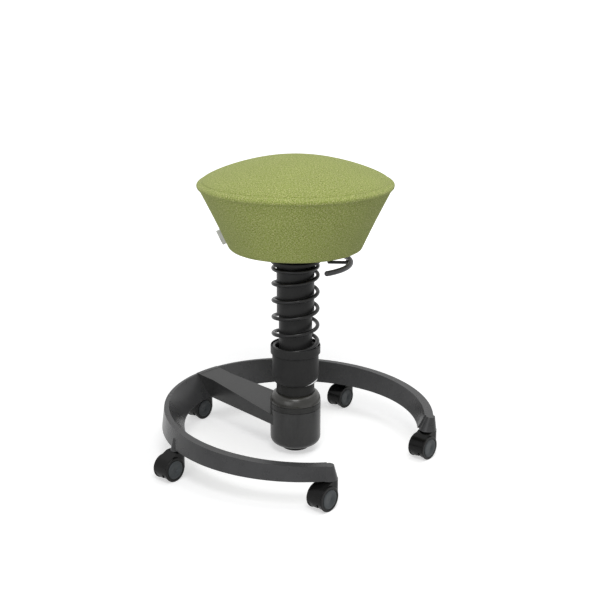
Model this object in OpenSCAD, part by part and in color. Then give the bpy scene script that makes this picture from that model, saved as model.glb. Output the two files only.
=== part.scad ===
// Sprung balance stool: round seat, coil spring round a telescopic column, sway joint, ring on castors.
// Millimetres. Z is up, the floor is z = 0, the column's axis is x = y = 0 and the base's arm points to +Y.

/* [Seat] */
// Width across the rim of the seat
rim_d = 345; // [330:1:360]
// Width across the seat's underside, to the sharp corner
seat_base_d = 236; // [226:1:246]
// Height of the drawn-in side, from the underside to the rim seam
side_h = 113; // [100:1:130]
// Rise of the crown above the rolled rim
crown_h = 36; // [26:1:46]
// Height of the rolled rim above its seam
rim_h = 14.5; // [10:0.5:20]
// Rounding of the seat's lower corner
seat_corner_r = 8; // [5:0.5:10]
// Thickness of the woven cover
cover_t = 1.4; // [1:0.1:2]
// Distance of the plywood board's edge inside the seat's underside edge
board_inset = 14; // [12:0.5:20]
// Thickness of the plywood board
board_t = 12; // [9:1:18]
// Height of the hollow in the foam above the board
recess_h = 51; // [48:1:60]
// Length of the tag along the side seam
tag_l = 28; // [20:1:36]
// Height of the tag above the seat's underside
tag_low = 8; // [6:0.5:20]
// Width by which the tag stands out
tag_w = 9; // [6:0.5:12]
// Direction of the seat's tag seam
tag_az = 132; // [0:1:359]

/* [Height lever] */
// Radius of the lever's arc about the column
lever_r = 99; // [94:0.5:104]
// Thickness of the lever's grip rod
grip_d = 9.6; // [7:0.2:12]
// Half the angle that the grip spans
grip_half_angle = 55; // [40:1:70]
// Thickness of the lever's steel rod
lever_rod_d = 5.8; // [5:0.1:7]
// Direction of the lever at rest
lever_az = 308; // [0:1:359]
// Depth of the lever below the seat's underside
lever_drop = 26.5; // [22:0.5:32]

/* [Gas lift] */
// Width of the gas cylinder
gas_d = 28; // [26:0.5:30]
// Lift of the seat
lift_stroke = 120; // [80:5:130]
// Width of the piston rod
gas_rod_d = 10; // [8:0.5:11]
// Width of the support tube round the gas cylinder
support_d = 50; // [48:0.5:51]
// Wall of the support tube
support_wall = 2.5; // [2:0.1:3]
// Width of the valve pin
valve_d = 7; // [6:0.5:8]

/* [Sprung column] */
// Width of the upper tube
upper_tube_d = 68.4; // [68:0.1:69]
// Wall of the upper tube
upper_wall = 2; // [1.8:0.05:2.1]
// Width of the lower tube
lower_tube_d = 61; // [60.5:0.1:61.2]
// Wall of the lower tube
lower_wall = 3; // [2:0.1:3.2]
// Travel of the bounce
bounce_travel = 60; // [40:5:60]
// Room between the cup and the upper tube's mouth at full bounce
mouth_room = 0.8; // [0.5:0.1:6]
// Width of the upper spring plate
spring_plate_d = 90; // [88:0.5:94]
// Thickness of the upper spring plate
spring_plate_t = 6; // [4:0.5:8]

/* [Coil spring] */
// Height of the spring between its seats
spring_h = 169.8; // [166:0.2:176]
// Width of the spring's wire
wire_d = 7.2; // [6.8:0.1:7.4]
// Mean width of the spring
spring_mean_d = 80.8; // [80.4:0.1:81]
// Climb of each open turn
spring_pitch = 31.4; // [28:0.2:36]
// Gap between a closed end turn and the next
closed_gap = 0.8; // [0.6:0.1:2]

/* [Adjuster cup] */
// Width of the cup's body
cup_d = 85.4; // [84:0.2:88]
// Width of the cup's grip rim
cup_rim_d = 91.6; // [91.6:0.1:96]
// Height of the cup
cup_h = 72.4; // [68:0.2:78]
// Height of the grip rim
cup_rim_h = 16.2; // [12:0.2:19]
// Height over which the cup rounds in to the neck
cup_round_h = 16.7; // [8:0.1:20]
// Thickness of the lower spring seat
seat_washer_t = 3.8; // [3:0.2:5]
// Climb of the lower spring seat for a turn of the cup
cup_thread_pitch = 3; // [2:0.5:3]

/* [Sway joint] */
// Width of the joint's ball
ball_d = 40; // [36:0.5:40]
// Height of the ball's centre above the housing's floor
ball_h = 34; // [34:0.5:36]
// Width of the neck under the cup
neck_d = 70; // [68:0.5:72]
// Height of the neck that shows between the boot and the cup
neck_show = 18; // [17:0.5:23]
// Width of the bell that sits on the ball
bell_d = 54; // [52:0.5:56]
// Width of the sway knob
knob_d = 52; // [44:1:56]
// Height of the sway knob
knob_h = 8.2; // [7:0.2:10]
// Width of the knob's bolt
knob_bolt_d = 10; // [8:0.5:11]
// Clearance of the knob above the floor
knob_floor_gap = 4.5; // [4:0.5:8]

/* [Housing and arm] */
// Width of the joint housing
housing_d = 93.6; // [92.6:0.2:98]
// Height of the joint housing
housing_h = 72; // [70:1:78]
// Wall of the joint housing
housing_wall = 5.8; // [5:0.1:6.2]
// Floor of the joint housing
housing_floor = 11; // [9:0.5:11.5]
// Rounding of the housing's lower corner
housing_corner_r = 14; // [8:0.5:18]
// Height of the clamp band
band_h = 10; // [8:0.5:11]
// Height of the domed boot above the band
boot_h = 18.4; // [15:0.2:20]
// Width of the arm at the ring
arm_tip_w = 50; // [44:1:56]
// Thickness of the arm where it meets the column's axis
arm_root_h = 17.3; // [14:0.5:22]
// Depth of the arm's top below the housing's top, at the column's axis
arm_root_drop = 13.1; // [10:0.5:16]

/* [Ring] */
// Outer radius of the ring's top edge
ring_r = 248.6; // [242:0.2:254]
// Thickness between the ring's outer top edge and its inner wall at half height, before the offsets
ring_wall = 24.7; // [22.7:0.1:27.6]
// Flare of the ring's inner wall
ring_bore_flare = 31.6; // [28:0.1:33]
// Lean of the inner wall's axis towards the arm
ring_bore_lean = 6.87; // [5:0.01:8]
// Height of the ring at the column's line
ring_h = 32.3; // [30:0.5:38]
// Outward slope of the ring's outer wall
ring_draft = 7; // [4:0.2:10]
// Fall of the ring's top towards the open side
ring_top_fall = 2.74; // [1.5:0.02:3]
// Fall of the ring's underside towards the open side
ring_under_fall = 0.91; // [0:0.01:0.92]
// Offset of the outer wall's centre towards the open side
ring_outer_shift = 7; // [4:0.5:9]
// Offset of the inner wall's centre towards the open side
ring_inner_shift = 29.7; // [27:0.1:31]
// Foot radius of the round ends of the ring
tip_r = 15.8; // [13:0.2:16]
// Top radius of the round ends of the ring
tip_top_r = 6.4; // [5:0.2:8]
// Outward lean of the round ends of the ring
tip_lean = 9; // [4:0.5:10]
// Depth of the arm's lip over the ring's top
lip_t = 1.2; // [0.8:0.1:2]

/* [Castors] */
// Distance of the castors' swivel axes inside the ring's outer top edge
castor_inset = 2.1; // [0:0.1:4.6]
// Angle between neighbouring castors, the first at the arm
castor_step = 72.5; // [71:0.1:73]
// Height of the castor's seat above the floor
castor_h = 50; // [49:0.5:54]
// Width across a wheel's tread
wheel_d = 44; // [40:0.5:45]
// Width of the pair of wheels
wheels_w = 35.2; // [32:0.2:38]
// Gap between the two wheels
wheel_gap = 11.8; // [11.4:0.2:13]
// Trail of the axle behind the swivel axis
castor_trail = 15.7; // [14:0.1:17]
// Width of the castor's stem
stem_d = 7.8; // [7:0.2:8]
// Width of the castor's axle
axle_d = 5; // [4:0.2:6]
// Direction in which the castors trail
castor_az = 180; // [0:1:359]

/* [Clearances] */
// Radial clearance of a running fit
running = 0.05; // [0.02:0.01:0.08]
// Gap where one moving piece rests on another
rest_gap = 0.3; // [0.2:0.05:0.4]
// Gap between neighbouring pieces of one body
snug = 0.1; // [0.05:0.01:0.15]

/* [Hidden] */
$fn = 96;
// Sides and rings of the wound spring
wire_sides = 6;
wire_rings = 16;
// Points along the crown and along each rounded corner
crown_steps = 18;
corner_steps = 6;
castors = 5;
arm_az = 90;
// Turn of each castor from the arm, in order round the ring
castor_turns = [0, castor_step, 2 * castor_step, -2 * castor_step, -castor_step];
// Overrun of a cut past the face it opens
over = 1;
// A cutting block or cutting disc larger than the base
cut_r = 2 * ring_r;
ring_bore_r = ring_r - ring_wall;
castor_r = ring_r - castor_inset;

// Heights from the floor upwards, one piece standing on another
knob_z = knob_floor_gap;
housing_z = knob_z + knob_h + rest_gap;
floor_z = housing_z + housing_floor;
ball_z = floor_z + ball_h;
housing_top = housing_z + housing_h;
groove_h = 0.8;
band_z = housing_top + groove_h;
band_top = band_z + band_h;
boot_top = band_top + groove_h + boot_h;
neck_top = boot_top + neck_show;
cup_z = neck_top + rest_gap;
cup_top = cup_z + cup_h;
cup_edge = 1.2;
cup_wall = 1.4;
cup_r = cup_d / 2;
cup_pocket = cup_rim_h - 1.5 * cup_edge;
washer_top = cup_top - cup_pocket;
washer_z = washer_top - seat_washer_t;
plate_z = washer_top + spring_h;
plate_top = plate_z + spring_plate_t;
upper_tube_z = cup_top + bounce_travel + mouth_room;

// Tubes and bushes of the column
upper_r = upper_tube_d / 2;
upper_bore_r = upper_r - upper_wall;
lower_r = lower_tube_d / 2;
lower_bore_r = lower_r - lower_wall;
support_r = support_d / 2;
support_bore_r = support_r - support_wall;
gas_r = gas_d / 2;
gas_rod_r = gas_rod_d / 2;
bush_flange = 1.5;
bush_h = 24;
foot_floor = 32;
lower_tube_z = neck_top - foot_floor;
bottom_room = 4;
support_z = lower_tube_z + bounce_travel + bottom_room;
cap_t = 6;
cap_spigot = 12;
cap_rise = 17;
cap_z = plate_top + cap_rise;
cap_top = cap_z + cap_t;
support_top = cap_z;
top_room = 2;
lower_tube_top = cap_z - cap_spigot - bounce_travel - top_room - bush_flange;
guide_h = 34;
support_floor = 5;

// Gas lift
gas_rise = 20;
gas_z = support_z + gas_rise;
gas_wall = 2.5;
gas_gland = 4;
neck_taper = 1.1;
gas_neck_h = 31;
hub_web_z = cap_top + rest_gap;
hub_web_t = 8;
gas_neck_z = hub_web_z + hub_web_t;
gas_top = gas_neck_z + gas_neck_h;
valve_r = valve_d / 2;
valve_out = 7;
valve_room = 4;
valve_depth = 12;
valve_top = gas_top + valve_out;
piston_h = 10;
piston_room = 1;
piston_z = gas_z + gas_gland + lift_stroke + piston_room;
shoulder_r = 8;
shoulder_h = 3;
clip_r = 9;
clip_t = 1.2;
clip_recess = 2;
rod_end_in = 0.5;

// Seat
hub_bottom = plate_top + rest_gap;
seat_rise = 21;
seat_z = plate_top + seat_rise;
board_z = seat_z + cover_t;
board_top = board_z + board_t;
rim_r = rim_d / 2;
seat_base_r = seat_base_d / 2;
board_r = seat_base_r - board_inset;
seam_gap = 0.6;
side_angle = atan2(side_h, rim_r - seat_base_r);
recess_r = 68;
recess_top = board_top + recess_h;
crown_power = 1.3;
rim_power = 8;
tag_t = 0.8;

// Hub
hub_r = 40;
hub_wall = 3.5;
hub_flange_r = 60;
hem_room = 14;
hem_r = hub_flange_r + hem_room;
hub_flange_t = 6;
hub_boss_r = 20;
hub_boss_drop = 3;
board_gap = 1;
hub_screws = 4;
hub_screw_r = 3;
hub_screw_pcd = 98;
hub_screw_l = 14;
hub_screw_head_r = 5;
hub_screw_head_t = 3;
hub_screw_turn = 45;
hub_screw_z = board_z - hub_flange_t - hub_screw_head_t;

// Lever
lever_z = seat_z - lever_drop;
lever_rod_r = lever_rod_d / 2;
grip_r = grip_d / 2;
pivot_x = 24;
pivot_r = 2.5;
pivot_eye_r = 6;
pivot_eye_w = 8;
ear_t = 4;
ear_w = 14;
pivot_z = valve_top + rest_gap + lever_rod_r;
riser_x = 60;
slot_in = 5;
slot_out = 14;
slot_w = 11;
boss_sleeve_r = 4.4;
boss_sleeve_l = 9;

// Spring
wire_r = wire_d / 2;
spring_r = spring_mean_d / 2;
spring_seat_gap = 0.2;
closed_rise = wire_d + closed_gap;
spring_foot = washer_top + spring_seat_gap + wire_r;
spring_head = plate_z - spring_seat_gap - wire_r;
open_rise = spring_head - spring_foot - 2 * closed_rise;
open_turns = open_rise / spring_pitch;
spring_turns = open_turns + 2;
// Direction of the near turn's left edge, which sets where the wire starts
spring_mark_az = 132;
spring_mark_z = 35.9;
spring_mark_turns = 1 + (spring_mark_z - wire_r - spring_seat_gap - closed_rise) / spring_pitch;
spring_start_az = spring_mark_az - 360 * spring_mark_turns;
spring_steps = ceil(spring_turns * wire_rings);
plate_collar_t = 1.3;
plate_collar_h = 8;

// Sway joint
ball_r = ball_d / 2;
socket_r = ball_r + rest_gap;
bell_r = bell_d / 2;
neck_r = neck_d / 2;
bell_lift = 3;
bell_top_drop = 0.75;
neck_foot_rise = 6.4;
post_r = 16;
post_flange_r = 24;
post_flange_t = 6;
post_rim_drop = 6;
post_neck_h = 14;
post_neck_round = 2;
pad_r = 9.2;
pad_skirt = 9.7;
pad_bore_h = 7;
pad_cup = 2;
pad_z = ball_z - socket_r - pad_skirt;
bolt_r = knob_bolt_d / 2;
bolt_in_pad = 3.5;
bolt_tip = pad_z + bolt_in_pad;
knob_r = knob_d / 2;
knob_notches = 10;
knob_notch_r = 3.2;
knob_notch_out = 1.2;
knob_chamfer = 1.6;
housing_r = housing_d / 2;
cavity_r = housing_r - housing_wall;
band_t = 2.8;
boot_t = 2.4;
boot_lip_r = neck_r + rest_gap;
boot_fullness = 3;
boot_z = band_top + groove_h;
rubber_top_drop = 3;

// Base
arm_root_in = 1;
arm_root_r = housing_r - arm_root_in;
arm_tip_r = arm_tip_w / 2;
ring_lift = 3.6;
ring_base_z = castor_h + ring_lift;
ring_top_z = ring_base_z + ring_h;
ring_foot_r = ring_r + ring_h * tan(ring_draft);
ring_tip_back = 0.5;
tip_over = 1.3;
ring_over = 24;
arm_root_top = housing_top - arm_root_drop;
arm_root_z = arm_root_top - arm_root_h;
arm_flare = 2;
arm_flare_l = 6;
boss_r = 8.6;
boss_top_r = 4.6;
boss_h = 19;
stem_r = stem_d / 2;
stem_in = 14;
bolt_pair_x = 16;
arm_bolt_r = 4;
arm_bolt_head_r = 6.8;
arm_bolt_head_t = 5;
arm_bolt_l = 52;
arm_bolt_rise = 22;
arm_bolt_z = ring_base_z + arm_bolt_rise;
arm_bolt_sink = 1;
arm_bolt_y = ring_r - ring_outer_shift - arm_bolt_sink;
hex_share = 0.7;

// Castors
wheel_r = wheel_d / 2;
wheel_t = (wheels_w - wheel_gap) / 2;
axle_r = axle_d / 2;
hood_gap = 0.6;
web_half = wheel_gap / 2 - hood_gap;
wheel_rim_w = 3.3;
hood_half = wheels_w / 2 - wheel_rim_w - rest_gap;
hood_t = 1.1;
tread_r = wheel_r - hood_t - rest_gap;
web_cut = 9;
skirt_z = 16.7;
tower_shift = 3;
tower_back = 8;
tower_edge = 1.6;
hood_top = castor_h - rest_gap;
stem_z = 5;
tread_round = 1.4;
tread_edge = 0.6;
cap_disc_r = 16.4;
cap_groove = 1.4;
cap_groove_depth = 0.9;
face_drop = 0.8;
axle_end = 3;

castor_parts = ["hood", "stem", "axle", "wheel_inner", "wheel_outer"];

// Shared shapes

// A straight tube from z0 up to z1
module tube(outer, inner, z0, z1) {
    translate([0, 0, z0])
        difference() {
            cylinder(r = outer, h = z1 - z0);
            translate([0, 0, -over])
                cylinder(r = inner, h = z1 - z0 + 2 * over);
        }
}

// A solid round bar from z0 up to z1
module bar(r, z0, z1) {
    translate([0, 0, z0])
        cylinder(r = r, h = z1 - z0);
}

// A round bar between two points of the lever's own plane
module rod_between(a, b, r) {
    d = b - a;
    translate(a)
        rotate([0, atan2(norm([d.x, d.y]), d.z), atan2(d.y, d.x)])
            cylinder(r = r, h = norm(d));
}

// Points of a circular arc
function arc(centre, r, a0, a1, steps) =
    [for (i = [0:steps]) let (a = a0 + (a1 - a0) * i / steps) centre + r * [cos(a), sin(a)]];

// Seat outlines, as half sections: x is the distance from the axis and y the height above the seat's underside

// Rounded lower corner and the top of the drawn-in side, moved inwards by t
function side_line(t, top) =
    let (corner = [seat_base_r - seat_corner_r * tan(side_angle / 2), seat_corner_r])
    concat(
        arc(corner, seat_corner_r - t, -90, side_angle - 90, corner_steps),
        [[rim_r - (side_h - top) / tan(side_angle) - t / sin(side_angle), top]]
    );

// Crown from the rim in to the axis, moved inwards by t
function crown_line(t) =
    [for (i = [crown_steps:-1:0])
        let (q = sin(90 * i / crown_steps))
        [(rim_r - t) * q, side_h - t + rim_h * sqrt(max(0, 1 - pow(q, rim_power)))
            + crown_h * pow(max(0, 1 - q * q), crown_power)]];

module ring_of(points, z) {
    translate([0, 0, z])
        rotate_extrude()
            polygon(points);
}

// Base

module castor_place(k) {
    rotate([0, 0, arm_az + castor_turns[k - 1]])
        translate([castor_r, 0, 0])
            rotate([0, 0, -arm_az - castor_turns[k - 1]])
                children();
}

// Solid between two planes that both fall towards the open side
module sloped_slab(z_low, fall_low, z_high, fall_high) {
    difference() {
        translate([0, 0, z_high])
            rotate([fall_high, 0, 0])
                translate([-cut_r, -cut_r, -cut_r])
                    cube([2 * cut_r, 2 * cut_r, cut_r]);
        translate([0, 0, z_low])
            rotate([fall_low, 0, 0])
                translate([-2 * cut_r, -2 * cut_r, -2 * cut_r])
                    cube([4 * cut_r, 4 * cut_r, 2 * cut_r]);
    }
}

// The leaning cone of the ring's inner wall
module ring_bore() {
    slope = tan(ring_bore_flare);
    reach = ring_h + ring_over;
    translate([0, -ring_inner_shift, ring_base_z + ring_h / 2])
        rotate([-ring_bore_lean, 0, 0])
            translate([0, 0, -reach])
                cylinder(r1 = ring_bore_r - reach * slope, r2 = ring_bore_r + 2 * reach * slope, h = 3 * reach);
}

// Distance from the column to the ring's inner wall at the arm, at height z
function bore_y(z) =
    let (
        slope = tan(ring_bore_flare),
        rise = z - ring_base_z - ring_h / 2 + ring_bore_r * sin(ring_bore_lean),
        along = rise / (cos(ring_bore_lean) - slope * sin(ring_bore_lean))
    )
    along * sin(ring_bore_lean) + (ring_bore_r + slope * along) * cos(ring_bore_lean) - ring_inner_shift;

module ring_body() {
    lean = tan(ring_draft);
    intersection() {
        difference() {
            translate([0, -ring_outer_shift, ring_base_z - ring_over])
                cylinder(
                    h = ring_h + 2 * ring_over,
                    r1 = ring_foot_r + ring_over * lean,
                    r2 = ring_r - ring_over * lean
                );
            ring_bore();
        }
        sloped_slab(ring_base_z, ring_under_fall, ring_top_z, ring_top_fall);
    }
}

// Everything past the end on the +X side
module ring_gap() {
    rotate([0, 0, arm_az - 2 * castor_step + ring_tip_back])
        translate([0, -cut_r, 0])
            cube([cut_r, cut_r, cut_r]);
}

// The open side, past both ends
module ring_opening() {
    intersection() {
        ring_gap();
        mirror([1, 0, 0])
            ring_gap();
    }
}

// Round end of the ring, over its last castor
module ring_tip(k) {
    slope = (tip_r - tip_top_r) / ring_h;
    reach = tip_over * ring_h;
    castor_place(k)
        translate([0, 0, castor_h])
            rotate([0, 0, arm_az + castor_turns[k - 1]])
                rotate([0, tip_lean, 0])
                    translate([0, 0, -tip_r])
                        cylinder(r1 = tip_r * (1 + slope), r2 = tip_r - reach * slope, h = tip_r + reach);
}

module ring() {
    color([0.24, 0.24, 0.24])
        difference() {
            union() {
                difference() {
                    ring_body();
                    ring_opening();
                }
                for (k = [1, 2, 5])
                    castor_place(k)
                        ring_of(concat(
                            [[0, 0], [boss_r, 0]],
                            arc([0, boss_h], boss_top_r, 0, 90, corner_steps)
                        ), castor_h);
                difference() {
                    intersection() {
                        for (k = [3, 4])
                            ring_tip(k);
                        sloped_slab(castor_h, 0, ring_top_z, ring_top_fall);
                    }
                    ring_bore();
                }
            }
            for (k = [1:castors])
                castor_place(k)
                    bar(stem_r + running, castor_h - over, castor_h + stem_in + over);
            for (x = [-bolt_pair_x, bolt_pair_x])
                arm_bolt_hole(x);
        }
}

module arm_bolt_hole(x) {
    translate([x, arm_bolt_y - arm_bolt_head_t, arm_bolt_z])
        rotate([-90, 0, 0])
            cylinder(r = arm_bolt_head_r + snug, h = ring_r);
    translate([x, arm_bolt_y, arm_bolt_z])
        rotate([90, 0, 0])
            cylinder(r = arm_bolt_r + snug, h = arm_bolt_l + over);
}

module arm_bolts() {
    color([0.16, 0.16, 0.17])
        for (x = [-bolt_pair_x, bolt_pair_x])
            translate([x, arm_bolt_y, arm_bolt_z])
                rotate([90, 0, 0])
                    difference() {
                        union() {
                            cylinder(r = arm_bolt_head_r, h = arm_bolt_head_t);
                            cylinder(r = arm_bolt_r, h = arm_bolt_l);
                        }
                        translate([0, 0, -over])
                            cylinder(r = arm_bolt_r * hex_share, h = arm_bolt_head_t / 2 + over, $fn = 6);
                    }
}

// Plan of the arm: as wide as the housing at the column, narrower at the ring, with a small flare at its end
module arm_plan() {
    end_y = bore_y(ring_base_z);
    far_y = cut_r;
    flare_y = (end_y + ring_r) / 2;
    polygon([
        [-arm_root_r, 0], [arm_root_r, 0],
        [arm_tip_r, end_y - arm_flare_l], [arm_tip_r + arm_flare, flare_y],
        [arm_tip_r + arm_flare, far_y], [-arm_tip_r - arm_flare, far_y],
        [-arm_tip_r - arm_flare, flare_y], [-arm_tip_r, end_y - arm_flare_l]
    ]);
}

// Distance from the column to where the arm's top meets the ring's top, and both heights there
arm_end_y = bore_y(ring_top_z + ring_r * tan(ring_top_fall));
arm_end_top = ring_top_z + arm_end_y * tan(ring_top_fall) + lip_t;
arm_top_angle = atan2(arm_end_top - arm_root_top, arm_end_y);
// The same for the arm's underside, which ends flush with the ring's
arm_under_y = bore_y(ring_base_z + ring_r * tan(ring_under_fall));
arm_end_under = ring_base_z + arm_under_y * tan(ring_under_fall);
arm_under_angle = atan2(arm_end_under - arm_root_z, arm_under_y);
echo(arm_under_angle = arm_under_angle, arm_root_z = arm_root_z);

module arm_body() {
    intersection() {
        linear_extrude(height = ring_top_z + cut_r)
            arm_plan();
        sloped_slab(arm_root_z, arm_under_angle, arm_root_top, arm_top_angle);
        ring_bore();
    }
}

// Thin lip of the arm that lies on the ring's top face
module arm_lip() {
    edge_drop = ring_r * tan(ring_top_fall) * tan(ring_draft);
    lip_r = ring_r - ring_outer_shift - edge_drop - lip_t;
    intersection() {
        linear_extrude(height = ring_top_z + cut_r)
            intersection() {
                arm_plan();
                difference() {
                    circle(r = lip_r);
                    circle(r = arm_end_y - arm_flare_l);
                }
            }
        sloped_slab(ring_top_z, ring_top_fall, ring_top_z + lip_t, ring_top_fall);
    }
}

module housing_body() {
    corner = [housing_r - housing_corner_r, housing_corner_r];
    ring_of(concat(
        [[0, 0]],
        arc(corner, housing_corner_r, -90, 0, corner_steps),
        [[housing_r, housing_h], [0, housing_h]]
    ), housing_z);
}

module arm_housing() {
    color([0.25, 0.25, 0.25])
        difference() {
            union() {
                arm_body();
                arm_lip();
                housing_body();
            }
            bar(cavity_r, floor_z, arm_end_top + over);
            bar(bolt_r + running, housing_z - over, floor_z + over);
            for (x = [-bolt_pair_x, bolt_pair_x])
                arm_bolt_hole(x);
        }
}

// Sway joint

// The knob is moulded round the head of its bolt
module sway_knob() {
    color([0.13, 0.13, 0.13])
        difference() {
            ring_of([
                [0, 0], [knob_r - knob_chamfer, 0], [knob_r, knob_chamfer], [knob_r, knob_h], [0, knob_h]
            ], knob_z);
            for (i = [0:knob_notches - 1])
                rotate([0, 0, 360 * i / knob_notches])
                    translate([knob_r + knob_notch_out, 0, 0])
                        bar(knob_notch_r, knob_z - over, knob_z + knob_h + over);
        }
    color([0.5, 0.5, 0.52])
        bar(bolt_r, knob_z + knob_h / 2, bolt_tip);
}

module pressure_pad() {
    color([0.6, 0.58, 0.5])
        difference() {
            bar(pad_r, pad_z, ball_z - socket_r + pad_cup);
            translate([0, 0, ball_z])
                sphere(r = socket_r);
            bar(bolt_r + running, pad_z - over, pad_z + pad_bore_h);
        }
}

module ball_post() {
    post_top = ball_z - post_rim_drop;
    color([0.45, 0.45, 0.47])
        difference() {
            ring_of([
                [0, 0], [post_flange_r, 0], [post_flange_r, post_flange_t], [post_r, post_flange_t],
                [post_r, post_neck_h], [post_flange_r, post_neck_h + post_neck_round],
                [post_flange_r, post_top - floor_z], [0, post_top - floor_z]
            ], floor_z);
            translate([0, 0, ball_z])
                sphere(r = socket_r);
            bar(pad_r + running, floor_z - over, ball_z);
        }
}

module sway_ball() {
    color([0.7, 0.7, 0.72])
        translate([0, 0, ball_z])
            sphere(r = ball_r);
}

module sway_rubber() {
    color([0.08, 0.08, 0.08])
        tube(cavity_r - snug, bell_r + rest_gap, floor_z, housing_top - rubber_top_drop);
}

module clamp_band() {
    color([0.17, 0.17, 0.17])
        tube(housing_r, housing_r - band_t, band_z, band_top);
}

// Full quarter curve from the boot's widest line in to its top opening, moved inwards by t
function boot_line(t) =
    [for (i = [0:2 * corner_steps])
        let (a = 90 * i / (2 * corner_steps))
        [boot_lip_r + (housing_r - snug - boot_lip_r - t) * pow(cos(a), 2 / boot_fullness),
         boot_z + t + (boot_h - 2 * t) * pow(sin(a), 2 / boot_fullness)]];

module boot() {
    skirt_r = housing_r - band_t - snug;
    inner = boot_line(boot_t);
    color([0.12, 0.12, 0.12])
        ring_of(concat(
            [[skirt_r - boot_t, housing_top], [skirt_r, housing_top], [skirt_r, boot_z]],
            boot_line(0),
            [for (i = [2 * corner_steps:-1:0]) inner[i]],
            [[skirt_r - boot_t, boot_z + boot_t]]
        ), 0);
}

module column_foot() {
    foot_z = ball_z + bell_lift;
    color([0.2, 0.2, 0.2])
        difference() {
            ring_of([
                [0, foot_z], [bell_r, foot_z], [bell_r, housing_top - bell_top_drop],
                [neck_r, boot_z + neck_foot_rise], [neck_r, neck_top], [0, neck_top]
            ], 0);
            translate([0, 0, ball_z])
                sphere(r = socket_r);
            bar(lower_r + snug, lower_tube_z, neck_top + over);
        }
}

// Column

module lower_tube() {
    color([0.3, 0.3, 0.31])
        tube(lower_r, lower_bore_r, lower_tube_z, lower_tube_top);
}

module upper_bush() {
    color([0.85, 0.85, 0.82]) {
        tube(lower_bore_r - snug, support_r + running, lower_tube_top - bush_h, lower_tube_top);
        tube(lower_r, support_r + running, lower_tube_top, lower_tube_top + bush_flange);
    }
}

module adjuster_cup() {
    rim = cup_rim_d / 2;
    rim_z = cup_h - cup_rim_h;
    bore_r = lower_r + running;
    color([0.16, 0.16, 0.16])
        difference() {
            ring_of(concat(
                [[bore_r, 0]],
                [for (i = [0:2 * corner_steps])
                    let (a = 90 * i / (2 * corner_steps) - 90)
                    [neck_r + (cup_r - neck_r) * cos(a), cup_round_h * (1 + sin(a))]],
                [[cup_r, rim_z - cup_edge], [rim, rim_z + cup_edge], [rim, cup_h - cup_edge],
                 [rim - cup_edge / 2, cup_h], [bore_r, cup_h]]
            ), cup_z);
            bar(spring_r + wire_r + rest_gap, washer_top, cup_top + over);
            bar(cup_r - cup_wall, washer_z, cup_top + over);
        }
}

module spring_seat() {
    color([0.5, 0.5, 0.52])
        tube(cup_r - cup_wall - rest_gap, lower_r + running, washer_z, washer_top);
}

// Height of the wire's centre above the spring's foot after a turn count: closed, open, closed
function wire_climb(turn) =
    turn < 1 ? closed_rise * turn
    : turn < 1 + open_turns ? closed_rise + spring_pitch * (turn - 1)
    : closed_rise + open_rise + closed_rise * (turn - 1 - open_turns);

function wire_point(i) =
    let (turn = spring_turns * i / spring_steps, a = spring_start_az + 360 * turn)
    [spring_r * cos(a), spring_r * sin(a), spring_foot + wire_climb(turn)];

wire_path = [for (i = [0:spring_steps]) wire_point(i)];

// One six-sided section of the wire, in the upright plane through the column's axis
function wire_section(p) =
    let (out = [p.x, p.y, 0] / norm([p.x, p.y]))
    [for (s = [0:wire_sides - 1])
        let (a = 360 * (s + 0.5) / wire_sides)
        p + wire_r * (cos(a) * out + sin(a) * [0, 0, 1])];

// Least gap of the wire to a later turn of itself, measured between the rings' centres
function wire_gap(i) =
    min([for (j = [i + wire_rings / 2:spring_steps]) norm(wire_path[j] - wire_path[i])]) - wire_d;
spring_least_gap = min([for (i = [0:spring_steps - wire_rings / 2]) wire_gap(i)]);
echo(spring_turns = spring_turns, spring_least_gap = spring_least_gap);

module coil_spring() {
    points = [for (p = wire_path) each wire_section(p)];
    last = spring_steps * wire_sides;
    walls = [for (i = [0:spring_steps - 1]) for (s = [0:wire_sides - 1])
        let (
            a = i * wire_sides + s,
            b = i * wire_sides + (s + 1) % wire_sides
        )
        each [[a, b, b + wire_sides], [a, b + wire_sides, a + wire_sides]]];
    foot = [for (s = [1:wire_sides - 2]) [0, s + 1, s]];
    head = [for (s = [1:wire_sides - 2]) [last, last + s, last + s + 1]];
    color([0.1, 0.1, 0.1])
        polyhedron(points = points, faces = concat(walls, foot, head));
}

module upper_tube() {
    color([0.13, 0.13, 0.13])
        tube(upper_r, upper_bore_r, upper_tube_z + bush_flange, cap_z);
}

module lower_bush() {
    color([0.1, 0.1, 0.1]) {
        tube(upper_r, lower_r + running, upper_tube_z, upper_tube_z + bush_flange);
        tube(upper_bore_r - snug, lower_r + running, upper_tube_z + bush_flange, upper_tube_z + bush_h);
    }
}

module spring_plate() {
    edge = 1;
    plate_r = spring_plate_d / 2;
    bore = upper_r + snug;
    color([0.12, 0.12, 0.12])
        ring_of([
            [bore, -plate_collar_h], [bore + plate_collar_t, -plate_collar_h], [bore + plate_collar_t, 0],
            [plate_r - edge, 0], [plate_r, edge], [plate_r, spring_plate_t - edge],
            [plate_r - edge, spring_plate_t], [bore, spring_plate_t]
        ], plate_z);
}

module tube_cap() {
    color([0.2, 0.2, 0.2])
        difference() {
            ring_of([
                [0, -guide_h], [support_bore_r - snug, -guide_h], [support_bore_r - snug, 0],
                [support_r + snug, 0], [support_r + snug, -cap_spigot], [upper_bore_r - snug, -cap_spigot],
                [upper_bore_r - snug, 0], [upper_r, 0], [upper_r, cap_t], [0, cap_t]
            ], cap_z);
            bar(gas_r + running, cap_z - guide_h - over, cap_top + over);
        }
}

module support_tube() {
    color([0.35, 0.35, 0.36])
        difference() {
            bar(support_r, support_z, support_top);
            bar(support_bore_r, support_z + support_floor, support_top + over);
            bar(gas_rod_r + running, support_z - over, support_z + support_floor + over);
            bar(clip_r + rest_gap, support_z - over, support_z + clip_recess);
        }
}

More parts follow.
